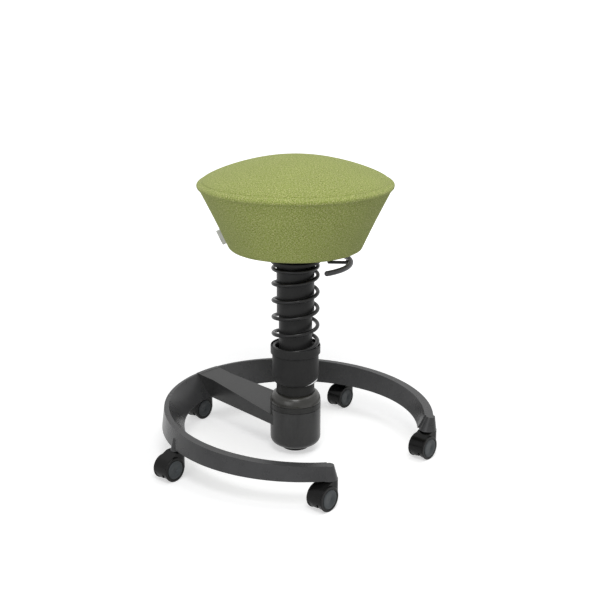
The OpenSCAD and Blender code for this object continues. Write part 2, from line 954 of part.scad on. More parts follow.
module piston_rod() {
    shoulder_z = support_z + support_floor + rest_gap;
    color([0.75, 0.75, 0.77]) {
        bar(gas_rod_r, support_z + rod_end_in, piston_z);
        bar(shoulder_r, shoulder_z, shoulder_z + shoulder_h);
        bar(gas_r - gas_wall - running, piston_z, piston_z + piston_h);
    }
}

module rod_clip() {
    z = support_z + clip_recess - clip_t - rest_gap;
    color([0.55, 0.55, 0.57])
        tube(clip_r, gas_rod_r + snug / 2, z, z + clip_t);
}

module gas_cylinder() {
    color([0.1, 0.1, 0.1])
        difference() {
            union() {
                bar(gas_r, gas_z, gas_neck_z);
                translate([0, 0, gas_neck_z])
                    cylinder(r1 = gas_r, r2 = gas_r - neck_taper, h = gas_neck_h);
            }
            bar(gas_r - gas_wall, gas_z + gas_gland, gas_top - valve_depth - valve_room - gas_gland);
            bar(gas_rod_r + running, gas_z - over, gas_z + gas_gland + over);
            bar(valve_r + running, gas_top - valve_depth - valve_room, gas_top + over);
        }
}

module valve_pin() {
    color([0.75, 0.75, 0.77])
        bar(valve_r, gas_top - valve_depth, valve_top);
}

// Seat

module lever_frame() {
    rotate([0, 0, lever_az])
        children();
}

module seat_hub() {
    web_top = hub_web_z + hub_web_t;
    boss_top = gas_top - hub_boss_drop;
    color([0.15, 0.15, 0.16])
        difference() {
            union() {
                ring_of([
                    [hub_r - hub_wall, hub_bottom], [hub_r, hub_bottom], [hub_r, board_z - hub_flange_t],
                    [hub_flange_r, board_z - hub_flange_t], [hub_flange_r, board_z], [hub_r, board_z],
                    [hub_r, web_top], [hub_boss_r, web_top], [hub_boss_r, boss_top], [0, boss_top],
                    [0, hub_web_z], [hub_r - hub_wall, hub_web_z]
                ], 0);
                lever_frame()
                    for (side = [-1, 1])
                        translate([
                            pivot_x - ear_w / 2,
                            side * (pivot_eye_w / 2 + rest_gap + ear_t / 2) - ear_t / 2,
                            hub_web_z
                        ])
                            cube([ear_w, ear_t, pivot_z + pivot_eye_r - hub_web_z]);
            }
            bar(gas_r + snug / 2, hub_web_z - over, gas_neck_z);
            translate([0, 0, gas_neck_z])
                cylinder(r1 = gas_r + snug / 2, r2 = gas_r + snug / 2 - neck_taper, h = gas_neck_h);
            lever_slot(board_z - hub_flange_t - over, board_z + over);
            lever_frame()
                translate([pivot_x, 0, pivot_z])
                    rotate([90, 0, 0])
                        translate([0, 0, -hub_r])
                            cylinder(r = pivot_r + snug / 2, h = 2 * hub_r);
            hub_screw_places()
                bar(hub_screw_r + snug, board_z - hub_flange_t - over, board_z + over);
        }
}

// Slot through which the lever's riser passes, with room for its swing
module lever_slot(z0, z1) {
    lever_frame()
        translate([riser_x - slot_in, -slot_w / 2, z0])
            cube([slot_in + slot_out, slot_w, z1 - z0]);
}

module hub_screw_places() {
    for (i = [0:hub_screws - 1])
        rotate([0, 0, lever_az + hub_screw_turn + 360 * i / hub_screws])
            translate([hub_screw_pcd / 2, 0, 0])
                children();
}

module hub_screws() {
    color([0.5, 0.5, 0.52])
        hub_screw_places() {
            bar(hub_screw_head_r, hub_screw_z, hub_screw_z + hub_screw_head_t);
            bar(hub_screw_r, hub_screw_z, hub_screw_z + hub_screw_l);
        }
}

module lever_arm() {
    inner = [0, 0, pivot_z];
    knee = [riser_x, 0, pivot_z];
    heel = [riser_x, 0, lever_z];
    hand = [lever_r - grip_r, 0, lever_z];
    color([0.12, 0.12, 0.12])
        lever_frame()
            difference() {
                union() {
                    rod_between(inner, knee, lever_rod_r);
                    rod_between(knee, heel, lever_rod_r);
                    rod_between(heel, hand, lever_rod_r);
                    for (p = [inner, knee, heel])
                        translate(p)
                            sphere(r = lever_rod_r);
                    translate([pivot_x, pivot_eye_w / 2, pivot_z])
                        rotate([90, 0, 0])
                            cylinder(r = pivot_eye_r, h = pivot_eye_w);
                }
                translate([pivot_x, hub_r, pivot_z])
                    rotate([90, 0, 0])
                        cylinder(r = pivot_r + running, h = 2 * hub_r);
            }
}

module lever_grip() {
    color([0.1, 0.1, 0.1])
        lever_frame()
            difference() {
                union() {
                    translate([0, 0, lever_z])
                        rotate([0, 0, -grip_half_angle])
                            rotate_extrude(angle = 2 * grip_half_angle)
                                translate([lever_r, 0])
                                    circle(r = grip_r, $fn = 48);
                    rod_between([lever_r - boss_sleeve_l, 0, lever_z], [lever_r, 0, lever_z], boss_sleeve_r);
                }
                rod_between(
                    [lever_r - boss_sleeve_l - over, 0, lever_z],
                    [lever_r - grip_r, 0, lever_z],
                    lever_rod_r + snug / 2
                );
            }
}

module lever_pin() {
    half = pivot_eye_w / 2 + rest_gap + ear_t;
    color([0.6, 0.6, 0.62])
        lever_frame()
            translate([pivot_x, half, pivot_z])
                rotate([90, 0, 0])
                    cylinder(r = pivot_r, h = 2 * half);
}

module seat_board() {
    color([0.72, 0.58, 0.4])
        difference() {
            tube(board_r, hub_r + board_gap, board_z, board_top);
            lever_slot(board_z - over, board_top + over);
            hub_screw_places()
                bar(hub_screw_r + snug, board_z - over, hub_screw_z + hub_screw_l + over);
        }
}

module seat_foam() {
    gap = cover_t + snug;
    crown = crown_line(gap);
    color([0.9, 0.87, 0.7])
        ring_of(concat(
            [[recess_r, board_top - seat_z], [board_r + snug, board_top - seat_z], [board_r + snug, gap]],
            side_line(gap, side_h - seam_gap),
            [for (i = [1:crown_steps]) crown[i]],
            [[0, recess_top - seat_z], [recess_r, recess_top - seat_z]]
        ), seat_z);
}

module cover_side() {
    top = side_h - seam_gap;
    inner = side_line(cover_t, top);
    count = len(inner);
    color([0.55, 0.62, 0.3])
        ring_of(concat(
            [[hem_r, cover_t], [hem_r, 0]],
            side_line(0, top),
            [for (i = [count - 1:-1:0]) inner[i]]
        ), seat_z);
}

module cover_crown() {
    inner = crown_line(cover_t);
    color([0.62, 0.69, 0.35])
        ring_of(concat(
            crown_line(0),
            [for (i = [crown_steps:-1:1]) inner[i]],
            [[rim_r - cover_t, side_h]]
        ), seat_z);
}

// Blank tag in the side seam, standing out from the drawn-in side
module seat_tag() {
    side_x = seat_base_r + tag_low / tan(side_angle);
    color([0.9, 0.9, 0.88])
        rotate([0, 0, tag_az])
            translate([side_x + snug, 0, seat_z + tag_low])
                rotate([0, 90 - side_angle, 0])
                    translate([0, -tag_t / 2, 0])
                        cube([tag_w, tag_t, tag_l]);
}

// Castors

module castor_frame(k) {
    castor_place(k)
        rotate([0, 0, castor_az])
            children();
}

module axle_bar(r, half) {
    translate([castor_trail, half, wheel_r])
        rotate([90, 0, 0])
            cylinder(r = r, h = 2 * half);
}

// Side outline of the hood above its wheels: x runs from the tower's front to the trailing side
function hood_side() =
    let (
        front = -tower_shift - hood_half,
        dx = castor_trail - tower_back,
        dz = hood_top - wheel_r,
        turn = atan2(dz, -dx) - acos(wheel_r / norm([dx, dz]))
    )
    [[front, skirt_z], [front, hood_top - tower_edge], [front + tower_edge, hood_top], [tower_back, hood_top],
     [castor_trail + wheel_r * cos(turn), wheel_r + wheel_r * sin(turn)], [castor_trail, wheel_r],
     [castor_trail, skirt_z]];

module castor_hood(k) {
    reach = castor_trail + 2 * wheel_r;
    color([0.07, 0.07, 0.07])
        castor_frame(k)
            difference() {
                intersection() {
                    union() {
                        axle_bar(wheel_r, hood_half);
                        translate([0, hood_half, 0])
                            rotate([90, 0, 0])
                                linear_extrude(height = 2 * hood_half)
                                    polygon(hood_side());
                    }
                    union() {
                        translate([-tower_shift, 0, 0])
                            cylinder(r = hood_half, h = castor_h);
                        translate([-tower_shift, -hood_half, 0])
                            cube([reach, 2 * hood_half, castor_h]);
                    }
                }
                for (side = [-1, 1]) {
                    translate([castor_trail, side * web_half, wheel_r])
                        rotate([-side * 90, 0, 0])
                            cylinder(r = tread_r + rest_gap, h = wheels_w);
                    translate([-reach, side > 0 ? web_half : -web_half - reach, skirt_z - wheel_d])
                        cube([3 * reach, reach, wheel_d]);
                }
                translate([-reach, -reach, web_cut - wheel_d])
                    cube([3 * reach, 2 * reach, wheel_d]);
                axle_bar(axle_r + snug / 2, wheels_w);
                bar(stem_r + snug / 2, wheel_r + stem_z, hood_top + over);
            }
}

module castor_stem(k) {
    color([0.6, 0.6, 0.62])
        castor_frame(k)
            bar(stem_r, wheel_r + stem_z, castor_h + stem_in);
}

module castor_axle(k) {
    color([0.6, 0.6, 0.62])
        castor_frame(k)
            axle_bar(axle_r, wheels_w / 2 - axle_end);
}

// A wheel with its face outwards at side 1 or -1, turned from its half section
module castor_wheel(k, side) {
    color([0.1, 0.1, 0.11])
        castor_frame(k)
            translate([castor_trail, side * wheel_gap / 2, wheel_r])
                rotate([-side * 90, 0, 0])
                    difference() {
                        rotate_extrude()
                            polygon(concat(
                                [[0, 0], [tread_r - tread_edge, 0], [tread_r, tread_edge],
                                 [tread_r, wheel_t - wheel_rim_w], [wheel_r - tread_edge, wheel_t - wheel_rim_w],
                                 [wheel_r, wheel_t - wheel_rim_w + tread_edge]],
                                arc([wheel_r - tread_round, wheel_t - face_drop - tread_round],
                                    tread_round, 0, 90, corner_steps),
                                [[cap_disc_r + cap_groove, wheel_t - face_drop],
                                 [cap_disc_r + cap_groove, wheel_t - face_drop - cap_groove_depth],
                                 [cap_disc_r, wheel_t - face_drop - cap_groove_depth],
                                 [cap_disc_r, wheel_t - face_drop / 2], [cap_disc_r - face_drop, wheel_t],
                                 [0, wheel_t]]
                            ));
                        bar(axle_r + running, -over, wheel_t - axle_end + rest_gap);
                    }
}

ring();
arm_housing();
arm_bolts();
sway_knob();
pressure_pad();
ball_post();
sway_ball();
sway_rubber();
clamp_band();
boot();
column_foot();
lower_tube();
upper_bush();
adjuster_cup();
spring_seat();
coil_spring();
upper_tube();
lower_bush();
spring_plate();
tube_cap();
support_tube();
piston_rod();
rod_clip();
gas_cylinder();
valve_pin();
seat_hub();
hub_screws();
lever_arm();
lever_grip();
lever_pin();
seat_board();
seat_foam();
cover_side();
cover_crown();
seat_tag();
for (k = [1:castors]) {
    castor_hood(k);
    castor_stem(k);
    castor_axle(k);
    castor_wheel(k, -1);
    castor_wheel(k, 1);
}
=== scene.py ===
"""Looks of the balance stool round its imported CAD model. Metres, Z up, the floor at z = 0."""

import math

import bpy
import numpy as np
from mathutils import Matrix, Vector


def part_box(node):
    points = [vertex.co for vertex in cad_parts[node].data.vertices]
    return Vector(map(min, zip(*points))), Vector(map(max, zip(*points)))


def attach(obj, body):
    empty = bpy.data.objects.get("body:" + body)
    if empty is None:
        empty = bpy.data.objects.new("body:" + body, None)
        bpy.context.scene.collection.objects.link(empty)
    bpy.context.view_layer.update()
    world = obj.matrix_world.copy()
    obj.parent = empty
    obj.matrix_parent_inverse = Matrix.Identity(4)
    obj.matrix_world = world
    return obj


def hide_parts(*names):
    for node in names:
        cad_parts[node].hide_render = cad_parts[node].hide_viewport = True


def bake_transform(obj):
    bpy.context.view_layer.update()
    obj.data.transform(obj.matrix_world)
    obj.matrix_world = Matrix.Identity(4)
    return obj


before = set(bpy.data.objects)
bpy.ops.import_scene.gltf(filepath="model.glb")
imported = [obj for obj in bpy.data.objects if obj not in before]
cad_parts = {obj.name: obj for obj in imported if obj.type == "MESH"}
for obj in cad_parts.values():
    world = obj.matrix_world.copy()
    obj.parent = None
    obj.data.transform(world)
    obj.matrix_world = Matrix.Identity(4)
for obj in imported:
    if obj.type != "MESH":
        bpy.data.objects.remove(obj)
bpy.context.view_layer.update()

TAU = 2 * math.pi


# Mesh making


def grid_faces(rows, cols, turned=False, wrap_rows=False):
    """Quads of a grid of points whose rows close on themselves. Wrapped rows also join the last to the first.
    Turned faces look the other way."""
    r = np.arange(rows if wrap_rows else rows - 1)
    i, j = np.meshgrid(r, np.arange(cols), indexing="ij")
    k, m = (i + 1) % rows, (j + 1) % cols
    quads = np.stack([i * cols + j, i * cols + m, k * cols + m, k * cols + j], -1).reshape(-1, 4)
    return (np.flip(quads, 1) if turned else quads).tolist()


def tube_faces(rows, cols, turned=True):
    """Quads of a tube of rows rings, with one face over each of its ends."""
    first, last = list(range(cols)), list(range((rows - 1) * cols, rows * cols))
    ends = [first, last[::-1]] if turned else [first[::-1], last]
    return grid_faces(rows, cols, turned) + ends


def make_piece(name, points, faces, material, uv=None):
    """A smooth mesh object of points and a list of faces. The UV holds one point per vertex, in metres."""
    mesh = bpy.data.meshes.new(name)
    mesh.from_pydata(points.reshape(-1, 3).tolist(), [], faces)
    if uv is not None:
        layer = mesh.uv_layers.new(name="cloth")
        corner = np.zeros(len(mesh.loops), np.int32)
        mesh.loops.foreach_get("vertex_index", corner)
        layer.data.foreach_set("uv", uv.reshape(-1, 2)[corner].astype(np.float32).ravel())
    mesh.polygons.foreach_set("use_smooth", np.full(len(mesh.polygons), True))
    mesh.materials.append(material)
    mesh.update()
    piece = bpy.data.objects.new(name, mesh)
    bpy.context.scene.collection.objects.link(piece)
    return piece


def lathe(name, outline, steps, material):
    """The closed outline of (r, z) points carried round Z: (r cos a, r sin a, z) at each angle a."""
    a = TAU * np.arange(steps) / steps
    r, z = outline[:, :1], outline[:, 1:]
    points = np.stack([r * np.cos(a), r * np.sin(a), z + 0 * a], -1)
    return make_piece(name, points, grid_faces(len(outline), steps, wrap_rows=True), material)


def round_corners(corners, radius, steps):
    """The closed outline with each corner c cut off at its radius, from p on one edge to q on the next, and
    replaced by the curve (1-t)^2 p + 2t(1-t) c + t^2 q."""
    most_of_edge, least_cut = 0.45, 1e-7
    t = np.linspace(0, 1, steps)[:, None]
    out = []
    for i in range(len(corners)):
        before, c, after = (np.array(corners[(i + k) % len(corners)], float) for k in (-1, 0, 1))
        back, on = before - c, after - c
        back_l, on_l = np.linalg.norm(back), np.linalg.norm(on)
        cut = min(radius[i], most_of_edge * back_l, most_of_edge * on_l)
        if cut < least_cut:
            out.append(c[None])
            continue
        p, q = c + back / back_l * cut, c + on / on_l * cut
        out.append((1 - t) ** 2 * p + 2 * t * (1 - t) * c + t**2 * q)
    return np.concatenate(out)


def tube_along(path, radius, sides):
    """Rings p + r (cos s n + sin s b) round the path: n lies level, b points up, and both are square to its
    direction. The radius r may vary along the path."""
    radius = np.broadcast_to(radius, (len(path),))
    forward = np.gradient(path, axis=0)
    forward /= np.linalg.norm(forward, axis=1)[:, None]
    level = np.cross(forward, np.array([0, 0, 1.0]))
    level /= np.linalg.norm(level, axis=1)[:, None]
    upward = np.cross(level, forward)
    s = TAU * np.arange(sides) / sides
    ring = np.cos(s)[None, :, None] * level[:, None] + np.sin(s)[None, :, None] * upward[:, None]
    return path[:, None] + radius[:, None, None] * ring


def capped_tube(name, path, radius, sides, material, dome=4):
    """A tube whose ends close in a half circle: radius r cos e at a distance r sin e past the end."""
    least_share = 0.02
    e = np.linspace(0, math.pi / 2, dome + 1)[1:]
    back, on = path[0] - path[1], path[-1] - path[-2]
    back, on = back / np.linalg.norm(back), on / np.linalg.norm(on)
    head = path[0] + back * (radius * np.sin(e[::-1]))[:, None]
    tail = path[-1] + on * (radius * np.sin(e))[:, None]
    radii = np.concatenate([radius * np.cos(e[::-1]), np.full(len(path), radius), radius * np.cos(e)])
    radii = np.maximum(radii, radius * least_share)
    points = tube_along(np.concatenate([head, path, tail]), radii, sides)
    return make_piece(name, points, tube_faces(len(points), sides), material)


# Materials


def srgb(red, green, blue):
    """Linear colour of 8-bit display values."""
    c = np.array([red, green, blue]) / 255
    return (*np.where(c <= 0.04045, c / 12.92, ((c + 0.055) / 1.055) ** 2.4), 1.0)


def grey(value):
    """Plain grey of a linear value."""
    return (value, value, value, 1)


def shaded(colour, share):
    """The colour times a share."""
    return tuple(c * share for c in colour[:3]) + (1,)


class Finish:
    """A material with short calls for its nodes."""

    def __init__(self, name, colour, roughness, **sockets):
        self.material = bpy.data.materials.new(name)
        self.material.use_nodes = True
        self.material.diffuse_color = colour
        self.tree = self.material.node_tree
        self.shader = self.tree.nodes["Principled BSDF"]
        self.shader.inputs["Base Color"].default_value = colour
        self.shader.inputs["Roughness"].default_value = roughness
        for key, value in sockets.items():
            self.shader.inputs[key.replace("_", " ")].default_value = value

    def fill(self, socket, value):
        """Links an output to the socket, or writes a plain value into it."""
        if hasattr(value, "is_output"):
            self.tree.links.new(value, socket)
        else:
            socket.default_value = value

    def node(self, kind, **values):
        """A new node. Each value goes to the socket of that name, or to the node's own setting."""
        made = self.tree.nodes.new(kind)
        for key, value in values.items():
            if key in made.inputs:
                self.fill(made.inputs[key], value)
            else:
                setattr(made, key, value)
        return made

    def link(self, output, socket):
        """Links an output to the shader's socket of that name."""
        self.tree.links.new(output, self.shader.inputs[socket])

    def place(self, kind="Object", scale=(1, 1, 1), turn=(0, 0, 0)):
        """Object or UV coordinates in metres, scaled and turned."""
        source = self.node("ShaderNodeTexCoord").outputs[kind]
        return self.node("ShaderNodeMapping", Vector=source, Scale=scale, Rotation=turn).outputs[0]

    def math(self, operation, *values):
        """One sum of the Math node."""
        made = self.node("ShaderNodeMath", operation=operation)
        for socket, value in zip(made.inputs, values):
            self.fill(socket, value)
        return made.outputs[0]

    def noise(self, vector, scale, detail=2.0, roughness=0.5):
        """Noise from 0 to 1, scale to the metre."""
        made = self.node("ShaderNodeTexNoise", Vector=vector, Scale=scale, Detail=detail, Roughness=roughness)
        return made.outputs["Fac"]

    def ramp(self, factor, stops):
        """Colour stops: a list of (position, colour)."""
        made = self.node("ShaderNodeValToRGB", Fac=factor)
        elements = made.color_ramp.elements
        while len(elements) < len(stops):
            elements.new(0.5)
        for element, (position, colour) in zip(elements, stops):
            element.position = position
            element.color = colour
        return made.outputs["Color"]

    def mix(self, factor, a, b, blend="MIX"):
        """Colours a and b mixed by the factor."""
        made = self.node("ShaderNodeMix", data_type="RGBA", blend_type=blend)
        sockets = {s.identifier: s for s in made.inputs}
        for key, value in (("Factor_Float", factor), ("A_Color", a), ("B_Color", b)):
            self.fill(sockets[key], value)
        return next(s for s in made.outputs if s.identifier == "Result_Color")

    def spread(self, value, low, high):
        """A value from 0 to 1 carried to low to high."""
        return self.node("ShaderNodeMapRange", Value=value, **{"To Min": low, "To Max": high}).outputs[0]

    def bump(self, height, distance, strength, edge=0.0):
        """Bump by height times distance in metres. Sharp CAD edges are rounded by the radius edge."""
        made = self.node("ShaderNodeBump", Height=height, Distance=distance, Strength=strength)
        if edge:
            rounding = self.node("ShaderNodeBevel", samples=6, Radius=edge)
            self.fill(made.inputs["Normal"], rounding.outputs[0])
        self.link(made.outputs[0], "Normal")


def woven_cover(name, shade):
    """Heathered plain weave. Warp and weft are |sin|^1.4 ridges that take turns on a checker. Each yarn's
    colour runs along it as stretched noise, with pale flecks and slow clouds, and painted shade darkens the
    grooves between the yarns."""
    weave = Finish(
        name, srgb(150, 160, 92), 0.92,
        Sheen_Weight=0.35, Sheen_Roughness=0.55, Sheen_Tint=srgb(226, 232, 178), Specular_IOR_Level=0.2,
    )
    yarn = 0.0012
    warp_length, weft_length = 1 / 290.0, 1 / 270.0

    def yarn_count(wander, where):
        return weave.math("DIVIDE", weave.math("MULTIPLY_ADD", noisy, wander, where), yarn)

    def ridge(count):
        wave = weave.math("SINE", weave.math("MULTIPLY", count, math.pi))
        return weave.math("POWER", weave.math("ABSOLUTE", wave), 1.4)

    def take_turns(warp, weft):
        return weave.math("ADD", weave.math("MULTIPLY", warp, over), weave.math("MULTIPLY", weft, under))

    cloth = weave.place("UV")
    noisy = weave.noise(cloth, 420.0, 1.0)
    split = weave.node("ShaderNodeSeparateXYZ", Vector=cloth).outputs
    u = yarn_count(yarn * 0.5, split["X"])
    v = yarn_count(yarn * -0.5, split["Y"])
    squares = weave.math("ADD", weave.math("FLOOR", u), weave.math("FLOOR", v))
    over = weave.math("MODULO", weave.math("ABSOLUTE", squares), 2.0)
    under = weave.math("SUBTRACT", 1.0, over)
    height = take_turns(ridge(u), ridge(v))
    warp_run = weave.noise(weave.place("UV", (1 / yarn, 1 / warp_length, 1)), 1.0)
    weft_run = weave.noise(weave.place("UV", (1 / weft_length, 1 / yarn, 1)), 1.0)
    heather = [
        (0.3, (96, 102, 44)), (0.42, (130, 144, 64)), (0.52, (157, 171, 89)),
        (0.6, (188, 190, 120)), (0.7, (226, 219, 172)),
    ]
    stops = [(position, srgb(*(np.array(c) * shade))) for position, c in heather]
    colour = weave.ramp(take_turns(warp_run, weft_run), stops)
    fleck = weave.ramp(weave.noise(cloth, 900.0), [(0.6, grey(0)), (0.74, grey(1))])
    colour = weave.mix(fleck, colour, srgb(196 * shade, 188 * shade, 138 * shade))
    cloudy = weave.noise(weave.place(), 26.0, 3.0)
    clouds = weave.ramp(cloudy, [(0.3, (0.72, 0.72, 0.7, 1)), (0.7, (1.18, 1.18, 1.14, 1))])
    colour = weave.mix(0.15, colour, clouds, "MULTIPLY")
    # Painted shade: the grooves between the yarns are made up to about a fifth darker.
    groove_shade = weave.ramp(height, [(0.0, (0.62, 0.62, 0.6, 1)), (0.5, grey(1))])
    weave.link(weave.mix(0.55, colour, groove_shade, "MULTIPLY"), "Base Color")
    fuzz = weave.noise(cloth, 2600.0)
    weave.bump(weave.math("MULTIPLY_ADD", fuzz, 0.6, height), 0.00022, 0.9)
    weave.link(weave.spread(fuzz, 0.84, 0.98), "Roughness")
    return weave.material


def coated_metal(name, colour, roughness, grain=1900.0, depth=0.00005, edge=0.0005, metallic=0.0, gloss=0.2):
    """Fine-texture powder coat: a granular bump, faint mottling, and a painted highlight that makes
    edges paler where they stand out.
    """
    coat = Finish(name, colour, roughness, Metallic=metallic, Specular_IOR_Level=gloss)
    edge_highlight_gain = 1.25
    where = coat.place()
    grains = coat.noise(where, grain, 2.0, 0.6)
    mottle = coat.noise(where, 34.0, 4.0, 0.6)
    base = coat.ramp(mottle, [(0.3, shaded(colour, 0.88)), (0.7, shaded(colour, 1.12))])
    # Painted highlight: edges that stand out, found by pointiness, are made up to 25 % paler.
    stands_out = coat.node("ShaderNodeNewGeometry").outputs["Pointiness"]
    edge_highlight = coat.ramp(stands_out, [(0.52, grey(1)), (0.6, grey(edge_highlight_gain))])
    base = coat.mix(1.0, base, edge_highlight, "MULTIPLY")
    speck = coat.ramp(grains, [(0.25, grey(0.86)), (0.75, grey(1.14))])
    coat.link(coat.mix(1.0, base, speck, "MULTIPLY"), "Base Color")
    coat.link(coat.spread(mottle, roughness - 0.06, roughness + 0.06), "Roughness")
    coat.bump(grains, depth, 0.8, edge)
    return coat.material


def moulded(name, colour, roughness, edge=0.0004, grain=900.0, depth=0.00002, scuff=0.05, gloss=0.2):
    """Moulded plastic or rubber: fine spark-erosion grain, slow changes of gloss, and hair-fine scuffs."""
    skin = Finish(name, colour, roughness, Specular_IOR_Level=gloss)
    where = skin.place()
    fine = skin.noise(where, grain, 3.0, 0.55)
    slow = skin.noise(where, 21.0, 3.0)
    skin.link(skin.ramp(slow, [(0.3, shaded(colour, 0.85)), (0.7, shaded(colour, 1.15))]), "Base Color")
    scratches = skin.noise(skin.place("Object", (240.0, 1700.0, 60.0), (0.4, 0.7, 0.2)), 1.0)
    changes = skin.spread(slow, roughness - 0.05, roughness + 0.05)
    skin.link(skin.math("ADD", changes, skin.math("MULTIPLY", scratches, scuff)), "Roughness")
    skin.bump(fine, depth, 0.7, edge)
    return skin.material


def bright_metal(name, colour, roughness, edge=0.0003):
    """Turned or drawn metal: fine tool lines stretched across Z, with a slow change of tint."""
    metal = Finish(name, colour, roughness, Metallic=1.0)
    lines = metal.noise(metal.place("Object", (60.0, 60.0, 2600.0)), 1.0, 3.0, 0.6)
    tint = metal.noise(metal.place(), 45.0)
    metal.link(metal.ramp(tint, [(0.35, shaded(colour, 0.86)), (0.65, colour)]), "Base Color")
    metal.link(metal.spread(lines, roughness - 0.05, roughness + 0.1), "Roughness")
    metal.bump(lines, 0.000008, 0.6, edge)
    return metal.material


def plywood(name):
    """Birch ply: long grain on the faces as noise stretched along X, and glue lines as sharp bands in Z."""
    ply = Finish(name, srgb(205, 170, 122), 0.55)
    veneer = 0.0013
    grain = ply.noise(ply.place("Object", (16.0, 190.0, 190.0)), 1.0, 4.0, 0.6)
    wood = [(0.3, srgb(178, 138, 92)), (0.55, srgb(208, 174, 126)), (0.75, srgb(222, 192, 148))]
    face = ply.ramp(grain, wood)
    veneers = ply.node("ShaderNodeSeparateXYZ", Vector=ply.place("Object", (1, 1, 1 / veneer))).outputs["Z"]
    layer = ply.math("FRACT", veneers)
    glue = ply.ramp(layer, [(0.0, (0.45, 0.36, 0.26, 1)), (0.1, grey(1)), (0.9, grey(1))])
    ply.link(ply.mix(0.7, face, glue, "MULTIPLY"), "Base Color")
    ply.link(ply.spread(grain, 0.45, 0.7), "Roughness")
    ply.bump(grain, 0.0001, 0.6)
    return ply.material


def cut_foam(name):
    """Open-cell foam: small round cells as a Voronoi distance, on a pale yellow, with painted shade
    darkening each cell towards its hollow middle.
    """
    block = Finish(name, srgb(232, 220, 170), 0.95)
    cells = block.node("ShaderNodeTexVoronoi", Vector=block.place(), Scale=700.0).outputs["Distance"]
    # Painted shade: each cell is darker towards its hollow middle.
    block.link(block.ramp(cells, [(0.1, srgb(196, 180, 126)), (0.5, srgb(238, 228, 182))]), "Base Color")
    block.bump(cells, 0.0006, 0.8)
    return block.material


def tag_cloth(name):
    """Blank satin ribbon: fine ribs across it and a faint grey mottling."""
    satin = Finish(name, srgb(222, 222, 219), 0.6, Sheen_Weight=0.3)
    ribs = satin.noise(satin.place("Object", (300.0, 300.0, 5200.0)), 1.0)
    slow = satin.noise(satin.place(), 120.0, 3.0)
    satin.link(satin.ramp(slow, [(0.3, srgb(204, 204, 202)), (0.7, srgb(232, 232, 229))]), "Base Color")
    satin.link(satin.spread(ribs, 0.5, 0.72), "Roughness")
    satin.bump(ribs, 0.00008, 0.8)
    return satin.material


crown_cloth = woven_cover("cover_crown_weave", 1.0)
# The side's cloth is the crown's weave made 2 % darker: painted shade.
shaded_side_cloth = woven_cover("cover_side_weave_shaded", 0.98)
anthracite = coated_metal("anthracite_coat", srgb(57, 57, 58), 0.28, gloss=0.25)
housing_coat = coated_metal("housing_coat", srgb(52, 52, 52), 0.3, gloss=0.25)
tube_coat = coated_metal("tube_coat", srgb(36, 36, 36), 0.4, grain=2600.0, depth=0.00002, gloss=0.14)
plate_plastic = moulded("spring_plate_plastic", srgb(26, 26, 26), 0.45)
cup_plastic = moulded("cup_plastic", srgb(44, 44, 44), 0.4, gloss=0.12)
hub_coat = coated_metal("hub_coat", srgb(40, 40, 41), 0.5)
spring_coat = moulded("spring_coat", srgb(16, 16, 17), 0.26, edge=0.0, depth=0.00001, scuff=0.08, gloss=0.3)
boot_rubber = moulded("boot_rubber", srgb(40, 39, 35), 0.27, edge=0.0, grain=1500.0, gloss=0.5)
band_plastic = moulded("band_plastic", srgb(48, 48, 47), 0.36)
knob_plastic = moulded("knob_plastic", srgb(30, 30, 30), 0.5)
block_rubber = moulded("block_rubber", srgb(30, 30, 30), 0.7)
foot_plastic = moulded("column_foot_plastic", srgb(42, 42, 41), 0.4, gloss=0.14)
grip_plastic = moulded("grip_plastic", srgb(66, 66, 68), 0.34, edge=0.0, grain=1200.0, scuff=0.1)
lever_steel = coated_metal("lever_coat", srgb(38, 38, 39), 0.4, grain=2600.0, depth=0.00002, edge=0.0)
wheel_plastic = moulded("wheel_plastic", srgb(20, 20, 20), 0.28, edge=0.0)
cap_plastic = moulded("wheel_cap_plastic", srgb(70, 74, 76), 0.4, edge=0.0, grain=1400.0)
hood_plastic = moulded("hood_plastic", srgb(15, 15, 15), 0.22, edge=0.0008, gloss=0.16)
zinc = bright_metal("zinc_steel", srgb(172, 174, 178), 0.38)
polished = bright_metal("polished_steel", srgb(208, 210, 214), 0.14)
chrome = bright_metal("hard_chrome", srgb(214, 216, 220), 0.1)
bronze = bright_metal("bearing_bronze", srgb(176, 132, 74), 0.4)
turned_alloy = bright_metal("turned_alloy", srgb(150, 151, 154), 0.4)
black_screw = coated_metal("blackened_steel", srgb(34, 34, 35), 0.36, depth=0.00001, metallic=0.6)
acetal = moulded("acetal", srgb(214, 212, 204), 0.45)
birch = plywood("birch_ply")
foam = cut_foam("cut_foam")
ribbon = tag_cloth("tag_ribbon")
# Mirror-bright white foil for the band round the cup's lower edge.
crescent_foil = bright_metal("cup_crescent_foil", srgb(244, 244, 246), 0.3, edge=0.0)

cad_finish = {
    "ring": anthracite, "arm_housing": housing_coat, "arm_bolts": black_screw, "sway_knob": knob_plastic,
    "pressure_pad": bronze, "ball_post": zinc, "sway_ball": polished, "sway_rubber": block_rubber,
    "clamp_band": band_plastic, "column_foot": foot_plastic, "lower_tube": tube_coat, "upper_bush": acetal,
    "adjuster_cup": cup_plastic, "spring_seat": zinc, "upper_tube": tube_coat, "lower_bush": plate_plastic,
    "spring_plate": plate_plastic, "tube_cap": turned_alloy, "support_tube": zinc, "piston_rod": chrome,
    "rod_clip": zinc, "gas_cylinder": tube_coat, "valve_pin": zinc, "seat_hub": hub_coat, "hub_screws": zinc,
    "lever_arm": lever_steel, "lever_pin": zinc, "seat_board": birch,
}
for k in range(1, 6):
    cad_finish[f"castor{k}_hood"] = hood_plastic
    cad_finish[f"castor{k}_stem"] = zinc
    cad_finish[f"castor{k}_axle"] = zinc


# Seat: the same outline as the CAD seat, with cloth's own bulge, seam and puckers

